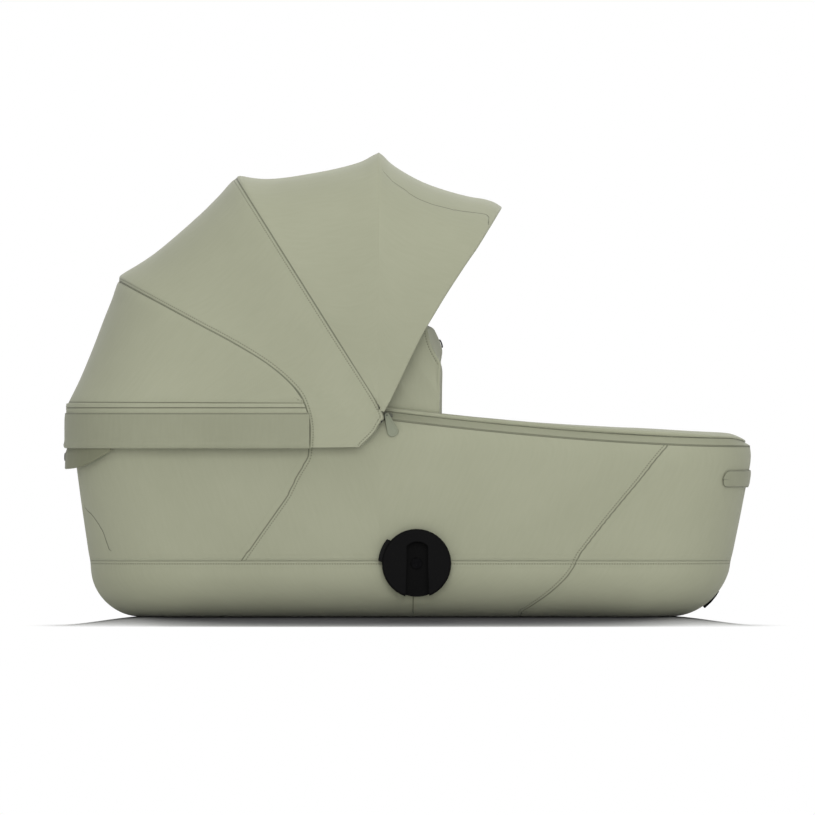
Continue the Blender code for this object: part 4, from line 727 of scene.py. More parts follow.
# Hinges: a moulded plate on each side that the bows' eyes turn against, with its steel pin and
# rivets. The steel in sight is blackened, so it is dark and faintly cloudy; hidden nuts are zinc plated.
def plated(name, bright, dull, roughness):
    """Plated or blackened steel: metallic, with a fine cloud of duller patches."""
    made, tree, shader = start_finish(name, {"Metallic": 1.0})
    place = add(tree, "ShaderNodeTexCoord")["Object"]
    cloud = add(tree, "ShaderNodeTexNoise", {"Scale": 260.0, "Detail": 4.0}, {"Vector": place})[0]
    colours = {"data_type": "RGBA", 6: linear(bright), 7: linear(dull)}
    colour = add(tree, "ShaderNodeMix", colours, {0: cloud})[2]
    spread = {"To Min": roughness - 0.1, "To Max": roughness + 0.12}
    rough = add(tree, "ShaderNodeMapRange", spread, {0: cloud})
    tree.links.new(colour, shader.inputs["Base Color"])
    tree.links.new(rough[0], shader.inputs["Roughness"])
    return made


plated_steel = plated("zinc_plated_steel", "#9A9C9F", "#7E8083", 0.36)
blackened_steel = plated("blackened_steel", "#121213", "#0B0B0C", 0.42)
hinge_nylon = moulded_plastic("moulded_nylon_black", "#0E0E0F", "#151516", 0.5, shine=0.25)
dress(["hinge_plate_left", "hinge_plate_right"], hinge_nylon, 0.0003)
dress(["hinge_pin_left", "hinge_pin_right"], blackened_steel, 0.0003)
dress(["hinge_rivet_%s_%s" % (level, side) for level in ("lower", "upper") for side in ("left", "right")],
      blackened_steel, 0.0002)


# Canopy skirt: a band of the same polyester, doubled and stiffened, that runs round the head end
# outside the tub. It is a shade darker than the canopy, and its hem is turned and rolled.
SKIRT_HEAD_X, SKIRT_CORNER, SKIRT_CLOTH = -0.3995, 0.122, 0.0025
SKIRT_LOW_Z, SKIRT_TOP_Z = 0.1967, 0.2364
SKIRT_HEM, HEM_UP, HEM_SPREAD = 0.0011, 0.003, 0.0028    # its rolled hem: proud, height, spread
SIDE_SEAM_X = -0.114
APART = 0.0003           # between two cloths that are sewn edge to edge
CANOPY_HALF_WIDTH = 0.20849
SKIRT_HALF_WIDTH = CANOPY_HALF_WIDTH + SKIRT_CLOTH
HEAD_WEIGHTS = end_weights(40, 36, 36)


def skirt_line(inset, z, start_x):
    """Line round the head end outside the tub, from the near side to the far side."""
    x, y = end_outline(HEAD_WEIGHTS, start_x, SKIRT_HEAD_X + inset, -1, SKIRT_HALF_WIDTH - inset,
                       SKIRT_CORNER - inset)
    return np.stack([x, y, 0 * x + z], axis=1)


band_polyester = woven_polyester("woven_polyester_sage_doubled", "#9B9D87", "#969882", "#444639")
skirt_levels = [SKIRT_LOW_Z + (SKIRT_TOP_Z - SKIRT_LOW_Z) * share for share in
                (0, 0.01, 0.03, 0.06, 0.09, 0.13, 0.2, 0.3, 0.4, 0.5, 0.6, 0.7, 0.8, 0.87, 0.93, 0.97, 1)]
skirt_rows = []
for z in skirt_levels:
    hem = SKIRT_HEM * math.exp(-((z - SKIRT_LOW_Z - HEM_UP) / HEM_SPREAD) ** 2)
    skirt_rows.append(skirt_line(-hem, z, SIDE_SEAM_X - APART))
skirt_grid = np.array(skirt_rows)
skirt_seams = [(skirt_grid[-1], "plain")]
skirt_grid = soften(skirt_grid, skirt_seams, inward=True, swell=0.0005, size=0.06, tuck=0.0005,
                    reach=0.004)
cloth_piece("canopy_band", skirt_grid, SKIRT_CLOTH, band_polyester, "tub", ["canopy_skirt"], "sage_band",
            "hung", ["canopy_zip_band"], inward=True, turned=(1, 0.7), seams=skirt_seams)


# Canopy zip: a concealed coil zip between the band and the canopy, sewn in with its coil inside,
# so that only its two tapes show, meeting at a dark line.
CANOPY_ZIP_TOP_Z = 0.2474
CANOPY_ZIP_MEET_Z = 0.2430    # where the two tapes meet
TAPE_LIP, TAPE_LIP_SPREAD = 0.0009, 0.0026
TAPE_GROOVE, TAPE_GROOVE_SPREAD = 0.0011, 0.0007
CANOPY_ZIP_INSET = 0.002
ZIP_TAPE = 0.0015
REAR_ANGLE, REAR_RADIUS, REAR_SHIFT = 151.75, 0.3435, 0.0021
SIDE_SEAM_BEND_Z, SIDE_SEAM_PEAK_Z, SIDE_SEAM_REACH = 0.225, 0.271, 0.190
SIDE_SEAM_SHARES = (0.0, 0.3, 0.5, 0.75)


def radial(angle, reach, across, shift=0.0):
    """Places at a reach from the hinge along an angle, moved square to it by shift."""
    turn = math.radians(angle)
    return np.stack([HINGE_X + reach * math.cos(turn) - shift * math.sin(turn), across + 0 * reach,
                     HINGE_Z + reach * math.sin(turn) + shift * math.cos(turn)], axis=1)


def side_seam(shift):
    """Lower part of the curved side seam, from the band's hem to the rear bow."""
    meet = radial(REAR_ANGLE, np.array([SIDE_SEAM_REACH]), 0.0, REAR_SHIFT)[0][[0, 2]]
    low, peak = np.array([SIDE_SEAM_X, SIDE_SEAM_BEND_Z]), np.array([SIDE_SEAM_X, SIDE_SEAM_PEAK_Z])
    places = [(SIDE_SEAM_X + shift, SKIRT_LOW_Z)]
    for share in SIDE_SEAM_SHARES:
        point = (low + (peak - low) * share) * (1 - share) + (peak + (meet - peak) * share) * share
        places.append((point[0] + shift, point[1]))
    return places


def seam_x(z):
    """Where the side seam is at a height."""
    path = smooth_line(side_seam(0.0), 8)
    return float(np.interp(z, path[:, 1], path[:, 0]))


zip_levels = np.linspace(SKIRT_TOP_Z + APART, CANOPY_ZIP_TOP_Z, 13)
canopy_zip_rows = []
for z in zip_levels:
    off = z - CANOPY_ZIP_MEET_Z
    lip = TAPE_LIP * (1 - min(abs(off) / TAPE_LIP_SPREAD, 1))
    rise = lip - TAPE_GROOVE * math.exp(-(off / TAPE_GROOVE_SPREAD) ** 2)
    canopy_zip_rows.append(skirt_line(CANOPY_ZIP_INSET - rise, z, seam_x(z) - 2 * APART))
canopy_zip_grid = np.array(canopy_zip_rows)
canopy_zip_seams = [(canopy_zip_grid[7], "plain")]
cloth_piece("canopy_zip_band", canopy_zip_grid, ZIP_TAPE, sage_polyester, "tub", ["canopy_zip_tape"],
            "sage_cloth", "stretched", ["canopy_rear_cloth"], inward=True, seams=canopy_zip_seams)


# Canopy panels: the same polyester over thin foam, four panels sewn along the bows. The cloth is
# stretched from bow to bow and hollows between them, and the front edge has a turned hem.
MID_REAR_ANGLE, MID_REAR_RADIUS, MID_REAR_SHIFT = 122.1, 0.3266, -0.0078
MID_FRONT_ANGLE, MID_FRONT_RADIUS = 90.0, 0.311
FRONT_ANGLE, FRONT_RADIUS = 60.0, 0.286
ARCH_POWER = 3.0
CANOPY_CLOTH = 0.0022
# Each panel's depth between its bows, by the share of the way from its rear edge to its front one.
REAR_HOLLOW = ((0.0, 0.0), (0.2, 0.0023), (0.46, 0.0025), (0.69, 0.0013), (0.85, 0.0009), (0.93, -0.0001),
               (0.98, -0.0006), (1.0, 0.0))
MIDDLE_HOLLOW = ((0.0, 0.0), (0.03, -0.0034), (0.065, -0.0029), (0.1, -0.0017), (0.18, 0.0011),
                 (0.3, 0.0035), (0.5, 0.0043), (0.69, 0.0042), (0.78, 0.0033), (0.86, 0.0022), (0.95, 0.0),
                 (1.0, 0.0))
TOP_HOLLOW = ((0.0, 0.0), (0.03, -0.0018), (0.1, 0.0036), (0.2, 0.0081), (0.35, 0.0100), (0.6, 0.0097),
              (0.75, 0.0085), (0.87, 0.0062), (0.95, 0.0021), (1.0, 0.0))
FRONT_HOLLOW = ((0.0, 0.0), (0.03, 0.0018), (0.09, 0.0067), (0.18, 0.0095), (0.3, 0.0111), (0.42, 0.0109),
                (0.58, 0.0084), (0.75, 0.0041), (0.85, 0.0), (0.93, -0.0015), (0.98, -0.0006), (1.0, 0.0))
# How far the front hem is drawn back, by the reach from the hinge.
HEM_HOLLOW = ((0.0, 0.0), (0.03, 0.0006), (0.07, 0.0038), (0.11, 0.0064), (0.142, 0.0062), (0.168, 0.0056),
              (0.195, 0.0042), (0.216, 0.0028), (0.232, 0.0014), (0.26, 0.0006), (0.286, 0.0))
FAN_START = 0.010        # reach at which the front panels' cloth begins beside the hinge
CORNER_DROP, CORNER_BACK = 0.0326, 0.0222    # the middle panel's lower front corner
CORNER_SHARES = ((1.0, 1.0), (0.27, 0.5), (0.02, 0.21), (-0.08, 0.10))
PANEL_INSET = 0.0035
HALF_GAP = 0.00015       # half the gap between two panels along a seam
ALONG_STEPS = 6          # steps between two points of a panel's edge


def arch(angle, radius, start_reach, steps, shift=0.0, inset=0.0):
    """A bow's ridge in the cloth, from the near side over the crown to the far side."""
    crown, half_width = radius - inset, CANOPY_HALF_WIDTH - inset
    first = math.asin((start_reach / crown) ** (ARCH_POWER / 2))
    sweep = np.linspace(first, math.pi - first, steps + 1)
    lean = np.cos(sweep)
    across = -np.copysign(half_width * np.abs(lean) ** (2 / ARCH_POWER), lean)
    return radial(angle, crown * np.sin(sweep) ** (2 / ARCH_POWER), across, shift)


def with_ends(line, places, radius):
    """An edge with the points of its lower ends added on both sides."""
    ends = []
    for x, z in places:
        reach = math.hypot(x - HINGE_X, z - HINGE_Z)
        across = CANOPY_HALF_WIDTH * (1 - min(reach / radius, 1) ** ARCH_POWER) ** (1 / ARCH_POWER)
        ends.append((x, -across, z))
    ends = np.array(ends)
    return np.vstack([ends, line, (ends * (1, -1, 1))[::-1]])


def panel_shares(rows):
    """Shares of the way across a panel, closer together near the bows."""
    even = np.linspace(0, 1, rows)
    return even - 0.75 * np.sin(math.tau * even) / math.tau


def sagged(edge_a, edge_b, hollow_places, rows):
    """Surface between two edges, drawn in towards the hinge by a depth given for shares of the way."""
    share = panel_shares(rows)[:, None, None]
    line = smooth_line(hollow_places, 8)
    hollow = np.interp(share, line[:, 0], line[:, 1])
    grid = edge_a + (edge_b - edge_a) * share
    out = (grid - (HINGE_X, 0, HINGE_Z)) * (1, 0, 1)
    reach = np.linalg.norm(out, axis=2, keepdims=True)
    crown = 1 - np.minimum(np.abs(grid[..., 1:2]) / CANOPY_HALF_WIDTH, 1) ** 2
    pull = np.where(reach > FAN_START, out / np.maximum(reach, 1e-6), 0)
    return grid - pull * hollow * crown


seam_behind, seam_before = side_seam(-HALF_GAP), side_seam(HALF_GAP)
start_share = (CANOPY_ZIP_TOP_Z + APART - seam_behind[1][1]) / (seam_behind[2][1] - seam_behind[1][1])
rear_start_x = seam_behind[1][0] + (seam_behind[2][0] - seam_behind[1][0]) * start_share - APART
rear_ridge = arch(REAR_ANGLE, REAR_RADIUS, SIDE_SEAM_REACH, 14, REAR_SHIFT + HALF_GAP)
rear_top = smooth_line(with_ends(rear_ridge, seam_behind[2:], REAR_RADIUS), ALONG_STEPS)
rear_low = skirt_line(PANEL_INSET, CANOPY_ZIP_TOP_Z + APART, rear_start_x)
rear_places = np.linspace(0, len(rear_low) - 1, len(rear_top))
rear_low = np.stack([np.interp(rear_places, np.arange(len(rear_low)), rear_low[:, axis])
                     for axis in range(3)], axis=1)
rear_grid = sagged(rear_low, rear_top, REAR_HOLLOW, 40)
rear_seams = [(rear_grid[-1], "plain"), (rear_grid[2], "plain")]    # the lower one holds the zip's tape
rear_grid = soften(rear_grid, rear_seams, inward=True, swell=0.0009, size=0.12, tuck=0.0004,
                   reach=0.004, seed=3.0)
cloth_piece("canopy_rear_cloth", rear_grid, CANOPY_CLOTH, sage_polyester, "tub", ["canopy_rear_panel"],
            "sage_cloth", "stretched", ["rear_bow", "canopy_zip_band"], inward=True, turned=(0.6, 0.4),
            seams=rear_seams)

corner = [(HINGE_X - CORNER_BACK * back, HINGE_Z - CORNER_DROP * down) for back, down in CORNER_SHARES]
mid_ridge = arch(REAR_ANGLE, REAR_RADIUS, SIDE_SEAM_REACH, 14, REAR_SHIFT - HALF_GAP)
mid_behind = smooth_line(with_ends(mid_ridge, seam_before, REAR_RADIUS), ALONG_STEPS)
mid_ridge = arch(MID_REAR_ANGLE, MID_REAR_RADIUS, FAN_START, 16, MID_REAR_SHIFT + HALF_GAP)
mid_before = smooth_line(with_ends(mid_ridge, corner, MID_REAR_RADIUS), ALONG_STEPS)
mid_grid = sagged(mid_behind, mid_before, MIDDLE_HOLLOW, 64)
mid_seams = [(mid_grid[0], "edge"), (mid_grid[-1], "edge")]
mid_grid = soften(mid_grid, mid_seams, inward=True, swell=0.0010, size=0.13, tuck=0.0003, reach=0.004,
                  seed=5.0)
mid_cloth = cloth_mesh("canopy_side_cloth", mid_grid, CANOPY_CLOTH, inward=True, turned=(0.8, 0.3),
                       seams=mid_seams)

top_ridge = arch(MID_REAR_ANGLE, MID_REAR_RADIUS, FAN_START, 16, MID_REAR_SHIFT - HALF_GAP)
top_before = smooth_line(arch(MID_FRONT_ANGLE, MID_FRONT_RADIUS, FAN_START, 16), ALONG_STEPS)
top_grid = sagged(smooth_line(top_ridge, ALONG_STEPS), top_before, TOP_HOLLOW, 56)
top_seams = [(top_grid[0], "plain"), (top_grid[-1], "held")]
top_grid = soften(top_grid, top_seams, inward=True, swell=0.0010, size=0.13, tuck=0.0003, reach=0.004,
                  seed=7.0)
top_cloth = cloth_mesh("canopy_top_cloth", top_grid, CANOPY_CLOTH, inward=True, turned=(0.3, 0),
                       seams=top_seams)


def hem_back(line):
    """How far the taut hem is drawn back from the front bow's straight plane, by its reach."""
    reach = np.hypot(line[..., 0] - HINGE_X, line[..., 2] - HINGE_Z)
    depth = np.interp(reach, *smooth_line(HEM_HOLLOW, 6).T)
    turn = math.radians(FRONT_ANGLE)
    return depth[..., None] * (-math.sin(turn), 0.0, math.cos(turn))


VISOR_SEAM = [(-0.028, 0.5177), (-0.0185, 0.5073), (0.0038, 0.4909), (0.0187, 0.4835), (0.0394, 0.4767),
              (0.0632, 0.4716), (0.0781, 0.4701), (0.09, 0.4679), (0.0944, 0.4641), (0.093, 0.4537)]
front_before = smooth_line(arch(FRONT_ANGLE, FRONT_RADIUS, FAN_START, 16), ALONG_STEPS)
front_before += hem_back(front_before)
front_grid = sagged(top_before, front_before, FRONT_HOLLOW, 56)
front_seams = both_sides(front_grid, VISOR_SEAM, "faint") + [(front_grid[0], "held")]
front_grid = soften(front_grid, front_seams, inward=True, swell=0.0008, size=0.13, tuck=0.0003,
                    reach=0.004, seed=9.0)
front_cloth = cloth_mesh("canopy_front_cloth", front_grid, CANOPY_CLOTH, inward=True, turned=(0, 1),
                         seams=front_seams)

BOW_SLEEVE = 0.05        # share of a panel, at each edge, that stays round its bow
MIDDLE_HELD_Z = (0.205, 0.255)    # the middle panel is sewn to the band below, and free above


def stretch_between(name, mesh, grid, stands_for, low_z):
    """Cloth panel between two bows, put in place with no body. The share of the fold that each row
    would take, rising from none at its first edge to all at its last and from none below low_z[0]
    to all above low_z[1], is worked out but not used."""
    panel = fit(name, mesh, sage_polyester, None, stands_for)
    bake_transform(panel)
    rows, columns = grid.shape[:2]
    held = np.clip((panel_shares(rows) - BOW_SLEEVE) / (1 - 2 * BOW_SLEEVE), 0, 1)
    share = np.repeat(held, columns).reshape(rows, columns)
    if low_z:
        share = share * np.clip((grid[..., 2] - low_z[0]) / (low_z[1] - low_z[0]), 0, 1)
    declare_cloth(grid)
    return panel


stretch_between("canopy_side_cloth", mid_cloth, mid_grid, ["canopy_mid_panel"],
                MIDDLE_HELD_Z)
stretch_between("canopy_top_cloth", top_cloth, top_grid, ["canopy_top_panel"],
                None)
stretch_between("canopy_front_cloth", front_cloth, front_grid, ["canopy_front_panel"],
                None)


# Front bow: the same nylon strip, drawn back at its lower half by the taut hem that it sits in.
# Its ends are flat eyes on the hinge pin.
BOW_CROWN, BOW_WIDTH, BOW_THICKNESS, BOW_EDGE = 0.2792, 0.008, 0.002, 0.0004
BOW_START, BOW_BACK = 0.0034, 0.0056     # reach at which the strip starts, and its place behind the hem
BOW_EYE, BOW_EYE_HOLE, BOW_EYE_OUTER = 0.0052, 0.00225, 0.20359    # radii, and its outer face in y
BOW_FOLLOWS = 0.65       # share of the hem's hollow that the strip follows
BOW_STEPS, EYE_STEPS = 96, 40


def bow_mesh(name):
    """Strip with broken edges swept over the hood, and a flat ring at each end of it."""
    across = BOW_WIDTH / 2
    section = ((-across, BOW_EDGE), (BOW_EDGE - across, 0), (across - BOW_EDGE, 0), (across, BOW_EDGE),
               (across, BOW_THICKNESS - BOW_EDGE), (across - BOW_EDGE, BOW_THICKNESS),
               (BOW_EDGE - across, BOW_THICKNESS), (-across, BOW_THICKNESS - BOW_EDGE))
    rings = []
    for aside, deep in section:
        inset = CANOPY_HALF_WIDTH - BOW_EYE_OUTER + deep
        line = arch(FRONT_ANGLE, BOW_CROWN - deep + inset, BOW_START, BOW_STEPS, BOW_BACK + aside, inset)
        rings.append(line + hem_back(line) * BOW_FOLLOWS)
    verts = np.array(rings).reshape(-1, 3).tolist()
    count, long = len(section), len(rings[0])
    faces = [[at * long + k for at in range(count)] for k in (0, long - 1)]
    for at in range(count):
        beyond = (at + 1) % count
        faces += [[at * long + k, at * long + k + 1, beyond * long + k + 1, beyond * long + k]
                  for k in range(long - 1)]
    profile = ((BOW_EYE_HOLE, 0), (BOW_EYE - BOW_EDGE, 0), (BOW_EYE, BOW_EDGE),
               (BOW_EYE, BOW_THICKNESS - BOW_EDGE), (BOW_EYE - BOW_EDGE, BOW_THICKNESS),
               (BOW_EYE_HOLE, BOW_THICKNESS))
    for side in (1, -1):
        first = len(verts)
        for step in range(EYE_STEPS):
            turn = math.tau * step / EYE_STEPS
            verts += [(HINGE_X + reach * math.cos(turn), side * (BOW_EYE_OUTER - deep),
                       HINGE_Z + reach * math.sin(turn)) for reach, deep in profile]
        for step in range(EYE_STEPS):
            here, there = first + step * len(profile), first + (step + 1) % EYE_STEPS * len(profile)
            for at in range(len(profile)):
                beyond = (at + 1) % len(profile)
                faces.append([here + at, here + beyond, there + beyond, there + at])
    mesh = bpy.data.meshes.new(name)
    mesh.from_pydata(verts, [], faces)
    cage = bmesh.new()
    cage.from_mesh(mesh)
    bmesh.ops.recalc_face_normals(cage, faces=cage.faces)
    cage.to_mesh(mesh)
    cage.free()
    mesh.shade_smooth()
    mesh.set_sharp_from_angle(angle=math.radians(40))
    return mesh


fit("front_bow_strip", bow_mesh("front_bow_strip"), bow_nylon, "front_bow", ["front_bow"])


# Rear flap and its tag: a loose single layer of the cloth below the band at the head end, coloured
# a darker olive as painted shade, with a small woven black tag sewn flat on it. Nothing is written on the
# tag.
REAR_FLAP_INSET, REAR_FLAP_CLOTH, REAR_FLAP_HALF = 0.0030, 0.002, 0.1885
REAR_FLAP_HEM = ((-0.4000, 0.1722), (-0.3850, 0.1741), (-0.3719, 0.1788), (-0.3586, 0.1863),
                 (-0.3446, 0.1946), (-0.3410, 0.1962))     # x and height of its lower edge
REAR_FLAP_TUCK = 0.008   # this much of it is sewn up under the band
REAR_FLAP_OUT = 0.0022   # it hangs this much further out than its seam
TAG_CLOTH, TAG_HALF, TAG_SWELL, TAG_TUCK = 0.0012, 0.015, 0.0005, 0.0004
TAG_PROUD = 0.0015       # its face stands this far off the cloth
REAR_TAG_LOW_Z, REAR_TAG_HIGH_Z = 0.181, 0.190
tag_polyester = woven_polyester("woven_ribbon_black", "#101010", "#161617", "#060606", sheen=0.1,
                                relief=0.05)
# The flap's darker olive is painted shade under the band.
painted_shade_polyester = woven_polyester("woven_polyester_sage_painted_shade", "#84866F", "#7F816A", "#3A3C30")

flap_line = skirt_line(REAR_FLAP_INSET, SKIRT_LOW_Z, SIDE_SEAM_X)
flap_line = flap_line[np.abs(flap_line[:, 1]) < REAR_FLAP_HALF]
hem_x, hem_z = smooth_line(REAR_FLAP_HEM, 6).T
flap_low = np.interp(flap_line[:, 0], hem_x, hem_z)
rear_flap_rows = []
for share in np.linspace(0, 1, 16):
    row = flap_line.copy()
    row[:, 2] = flap_low + (SKIRT_LOW_Z + REAR_FLAP_TUCK - flap_low) * share
    out = np.clip((SKIRT_LOW_Z - 0.001 - row[:, 2]) / 0.006, 0, 1) * REAR_FLAP_OUT
    row[:, 0] -= out * np.clip((REAR_FLAP_HALF - np.abs(row[:, 1])) / 0.09, 0, 1)
    rear_flap_rows.append(row)
rear_flap_grid = np.array(rear_flap_rows)
rear_flap_grid = soften(rear_flap_grid, [], inward=True, swell=0.0007, size=0.03)
cloth_piece("rear_flap_cloth", rear_flap_grid, REAR_FLAP_CLOTH, painted_shade_polyester, "tub", ["rear_flap"],
            "sage_cloth", "hung", ["canopy_band"], inward=True)


def tag_grid(low, high, depth_x):
    """Small folded ribbon tag facing along x, its ends tucked in."""
    rows = []
    for share in np.linspace(0, 1, 9):
        z = low + (high - low) * share
        swell = TAG_SWELL * (1 - abs(2 * share - 1) ** 3)
        y = np.linspace(-TAG_HALF, TAG_HALF, 19)
        tuck = TAG_TUCK * np.abs(y / TAG_HALF) ** 8
        rows.append(np.stack([depth_x(z) + (swell - tuck) * np.sign(depth_x(z)), y, 0 * y + z], axis=1))
    return np.array(rows)


tag_face = SKIRT_HEAD_X + REAR_FLAP_INSET - REAR_FLAP_OUT - TAG_PROUD
rear_tag_grid = tag_grid(REAR_TAG_LOW_Z, REAR_TAG_HIGH_Z, lambda z: tag_face)
cloth_piece("rear_tag_ribbon", rear_tag_grid, TAG_CLOTH, tag_polyester, "tub", ["rear_tag"], "black_tag",
            "stretched", ["rear_flap_cloth"], inward=True)


# Apron: a padded cover over the foot half, cut from the same cloth with a piped edge. It is
# crowned, so that rain runs off it, and its tails run back beside the opening to the hinge.
ZIP_START_X, ZIP_RISE, ZIP_LEAN = -0.0304, 0.0085, 0.005
FOOT_DROOP, DROOP_START_X, DROOP_END_X = 0.0045, 0.372, 0.393
APRON_INSET, APRON_CLOTH, APRON_SHOULDER = 0.0053, 0.0024, 0.030
APRON_CROWNS = ((0.0365, 0.0021), (0.075, 0.0023), (0.107, 0.0029), (0.15, 0.0030), (0.18, 0.0034),
                (0.22, 0.0042), (0.265, 0.0050), (0.30, 0.0047), (0.33, 0.0042))     # x and the crown there
APRON_RIPPLE, APRON_RIPPLE_SIZE = 0.0009, 0.11
APRON_HEAD_X, APRON_TAIL_X, TAIL_OUTER_SHARE, TAIL_INNER_SHARE = 0.0365, -0.0275, 0.92, 0.84
PIPING_RADIUS = 0.0026
PIPING_TUCK = 0.0014     # it is sewn this far in from the apron's edge
PIPING_FLAT_X, PIPING_FLAT_RUN, PIPING_FLAT_SHARE = 0.30, 0.085, 0.62


def edge_z(x):
    """Height of the apron's edge: it is drawn down a little round the foot end."""
    share = np.clip((x - DROOP_START_X) / (DROOP_END_X - DROOP_START_X), 0, 1)
    return rim_z(x) + ZIP_RISE - FOOT_DROOP * share ** 2


def apron_extent(x):
    """Foot end, half width and corner radius of the apron's edge, where it is over x."""
    z = rim_z(x) + ZIP_RISE
    return tub_extent(z, COVER, shoulder_inset(x, z) + APRON_INSET)[1:]


def apron_top(x, y):
    """Height of the apron's upper side."""
    foot, half_width, corner = apron_extent(x)
    along, across = x - (foot - corner), np.abs(y) - (half_width - corner)
    rounded = np.maximum(corner - np.hypot(along, across), 0)
    square = np.maximum(np.minimum(corner - along, corner - across), 0)
    inside = np.where((along > 0) & (across > 0), rounded, square)
    share = np.minimum(inside / APRON_SHOULDER, 1)
    crown = np.interp(x, *np.array(APRON_CROWNS).T)
    return edge_z(x) + APART + APRON_CLOTH + crown * (1 - (1 - share) ** 2)


def closer_at_end(near, far, counts):
    """Shares from 0 to 1 that lie closer together past near, and closer again past far."""
    runs = zip((0, near, far), (near, far, 1), counts)
    return np.concatenate([np.linspace(low, high, count)[int(low > 0):] for low, high, count in runs])


foot_end, foot_half, foot_corner = apron_extent(np.array(RIM_LEVEL_X))
half_shares = closer_at_end(0.8, 0.96, (26, 14, 9))
across_shares = np.concatenate([-half_shares[:0:-1], half_shares])
along_shares = closer_at_end(0.8, 0.97, (60, 22, 8))
apron_rows = []
for share in across_shares:
    tail = np.clip((abs(share) - TAIL_INNER_SHARE) / (TAIL_OUTER_SHARE - TAIL_INNER_SHARE), 0, 1)
    head_x = APRON_HEAD_X + (APRON_TAIL_X - APRON_HEAD_X) * tail
    past = max(abs(share) * foot_half - (foot_half - foot_corner), 0)
    end_x = foot_end - foot_corner + math.sqrt(max(foot_corner ** 2 - past ** 2, 0))
    x = head_x + (end_x - head_x) * along_shares
    y = share * apron_extent(x)[1]
    apron_rows.append(np.stack([x, y, apron_top(x, y)], axis=1))
apron_grid = np.array(apron_rows)[:, ::-1].transpose(1, 0, 2)[:, ::-1]
apron_rise = ripple(apron_grid, APRON_RIPPLE_SIZE, 11.0) * APRON_RIPPLE
over_edge = apron_top(apron_grid[..., 0], apron_grid[..., 1]) - edge_z(apron_grid[..., 0]) - APRON_CLOTH
apron_grid[..., 2] += apron_rise * np.clip(over_edge / APRON_CROWNS[0][1], 0, 1)
up_first = outward(apron_grid, False, False)[20, 40, 2] < 0
cloth_piece("apron_cloth", apron_grid, APRON_CLOTH, sage_polyester, "tub", ["apron"], "sage_cloth",
            "stretched", ["zip_band"], inward=up_first)


def rod_mesh(name, line, radius, sides, up=(0.0, 0.0, 1.0)):
    """Round rod along a line, closed at its ends; up is a direction that the line never takes."""
    ahead = np.gradient(line, axis=0)
    ahead = ahead / np.linalg.norm(ahead, axis=1, keepdims=True)
    beside = np.cross(ahead, up)
    beside = beside / np.linalg.norm(beside, axis=1, keepdims=True)
    above = np.cross(beside, ahead)
    rings = []
    for side in range(sides):
        angle = math.tau * side / sides
        off = beside * math.cos(angle) + above * math.sin(angle)
        rings.append(line + off * np.reshape(radius, (-1, 1)))
    index = np.arange(sides * len(line)).reshape(sides, -1)
    faces = tube_faces(index).tolist() + [index[:, 0].tolist(), index[::-1, -1].tolist()]
    mesh = bpy.data.meshes.new(name)
    mesh.from_pydata(np.array(rings).reshape(-1, 3).tolist(), [], faces)
    return mesh


def piping_mesh(name, line, radius, sides=12):
    """Round piping along a line, with its cloth's lay round it and no seam marked."""
    mesh = rod_mesh(name, line, radius, sides)
    gone = np.concatenate([[0], np.cumsum(np.linalg.norm(np.diff(line, axis=0), axis=1))])
    lay = []
    for side in range(sides):
        low, high = [math.tau * PIPING_RADIUS * at / sides for at in (side, side + 1)]
        for at in range(len(line) - 1):
            lay += [(gone[at], low), (gone[at + 1], low), (gone[at + 1], high), (gone[at], high)]
    lay += [(0.0, 0.0)] * (2 * sides)
    mesh.uv_layers.new(name="cloth").data.foreach_set("uv", np.array(lay, np.float32).ravel())
    for key, clear in (("seam", CLEAR_OF_SEAMS), ("near", CLEAR_OF_SEAMS), ("run", -1.0),
                       ("seam_cross", CLEAR_OF_SEAMS), ("near_cross", CLEAR_OF_SEAMS), ("run_cross", -1.0)):
        values = np.full(len(mesh.vertices), clear)
        mesh.attributes.new(key, "FLOAT", "POINT").data.foreach_set("value", values)
    mesh.update()
    return mesh


def piping_radius(x):
    """The piping is pulled flatter round the foot end."""
    share = np.clip((x - PIPING_FLAT_X) / PIPING_FLAT_RUN, 0, 1)
    return PIPING_RADIUS * (1 - PIPING_FLAT_SHARE * share ** 2 * (3 - 2 * share))


def apron_outline(steps):
    """The apron's outer edge, from the near tail round the foot end to the far tail."""
    weights = end_weights(*steps)
    x = end_outline(weights, APRON_TAIL_X, foot_end, 1, foot_half, foot_corner)[0]
    half_width = apron_extent(x)[1]
    y = end_outline(weights, APRON_TAIL_X, foot_end, 1, half_width, foot_corner)[1]
    return np.stack([x, y, edge_z(x) + APART + piping_radius(x)], axis=1)


EDGE_STEPS = (60, 26, 24)    # along a side, round a corner and across the foot end
piping_line = apron_outline(EDGE_STEPS)
piping_line[:, 1] *= 1 - PIPING_TUCK / foot_half
piping_cord = piping_mesh("apron_piping", piping_line, piping_radius(piping_line[:, 0]))
fit("apron_piping", piping_cord, sage_polyester, "tub", ["apron"])


# Apron zip: a reverse-coil zip whose tape stands on the tub's rim under the apron's edge, leaning
# inwards. The coil is on the inside, so outside it is a plain dark band with one line of stitching.
TAPE_WEIGHTS = end_weights(*EDGE_STEPS)
TAPE_TUCK = 1.07         # it reaches this share of its height, so that it ends up inside the apron
tape_rows = []
for share in np.linspace(0, TAPE_TUCK, 10):
    up, inwards = APART + (ZIP_RISE - APART) * share, APART + (ZIP_LEAN - APART) * share
    tape_rows.append(tub_ring(below_rim(-up), COVER, inwards, TAPE_WEIGHTS, 1, ZIP_START_X))
tape_grid = np.array(tape_rows)
tape_low = tape_grid[:1, :, 2]
drawn_down = (edge_z(tape_grid[..., 0]) - tape_low) / (rim_z(tape_grid[..., 0]) + ZIP_RISE - tape_low)
tape_grid[..., 2] = tape_low + (tape_grid[..., 2] - tape_low) * drawn_down
tape_seams = [(tape_grid[0][::-1], "plain"), (tape_grid[-1], "plain")]
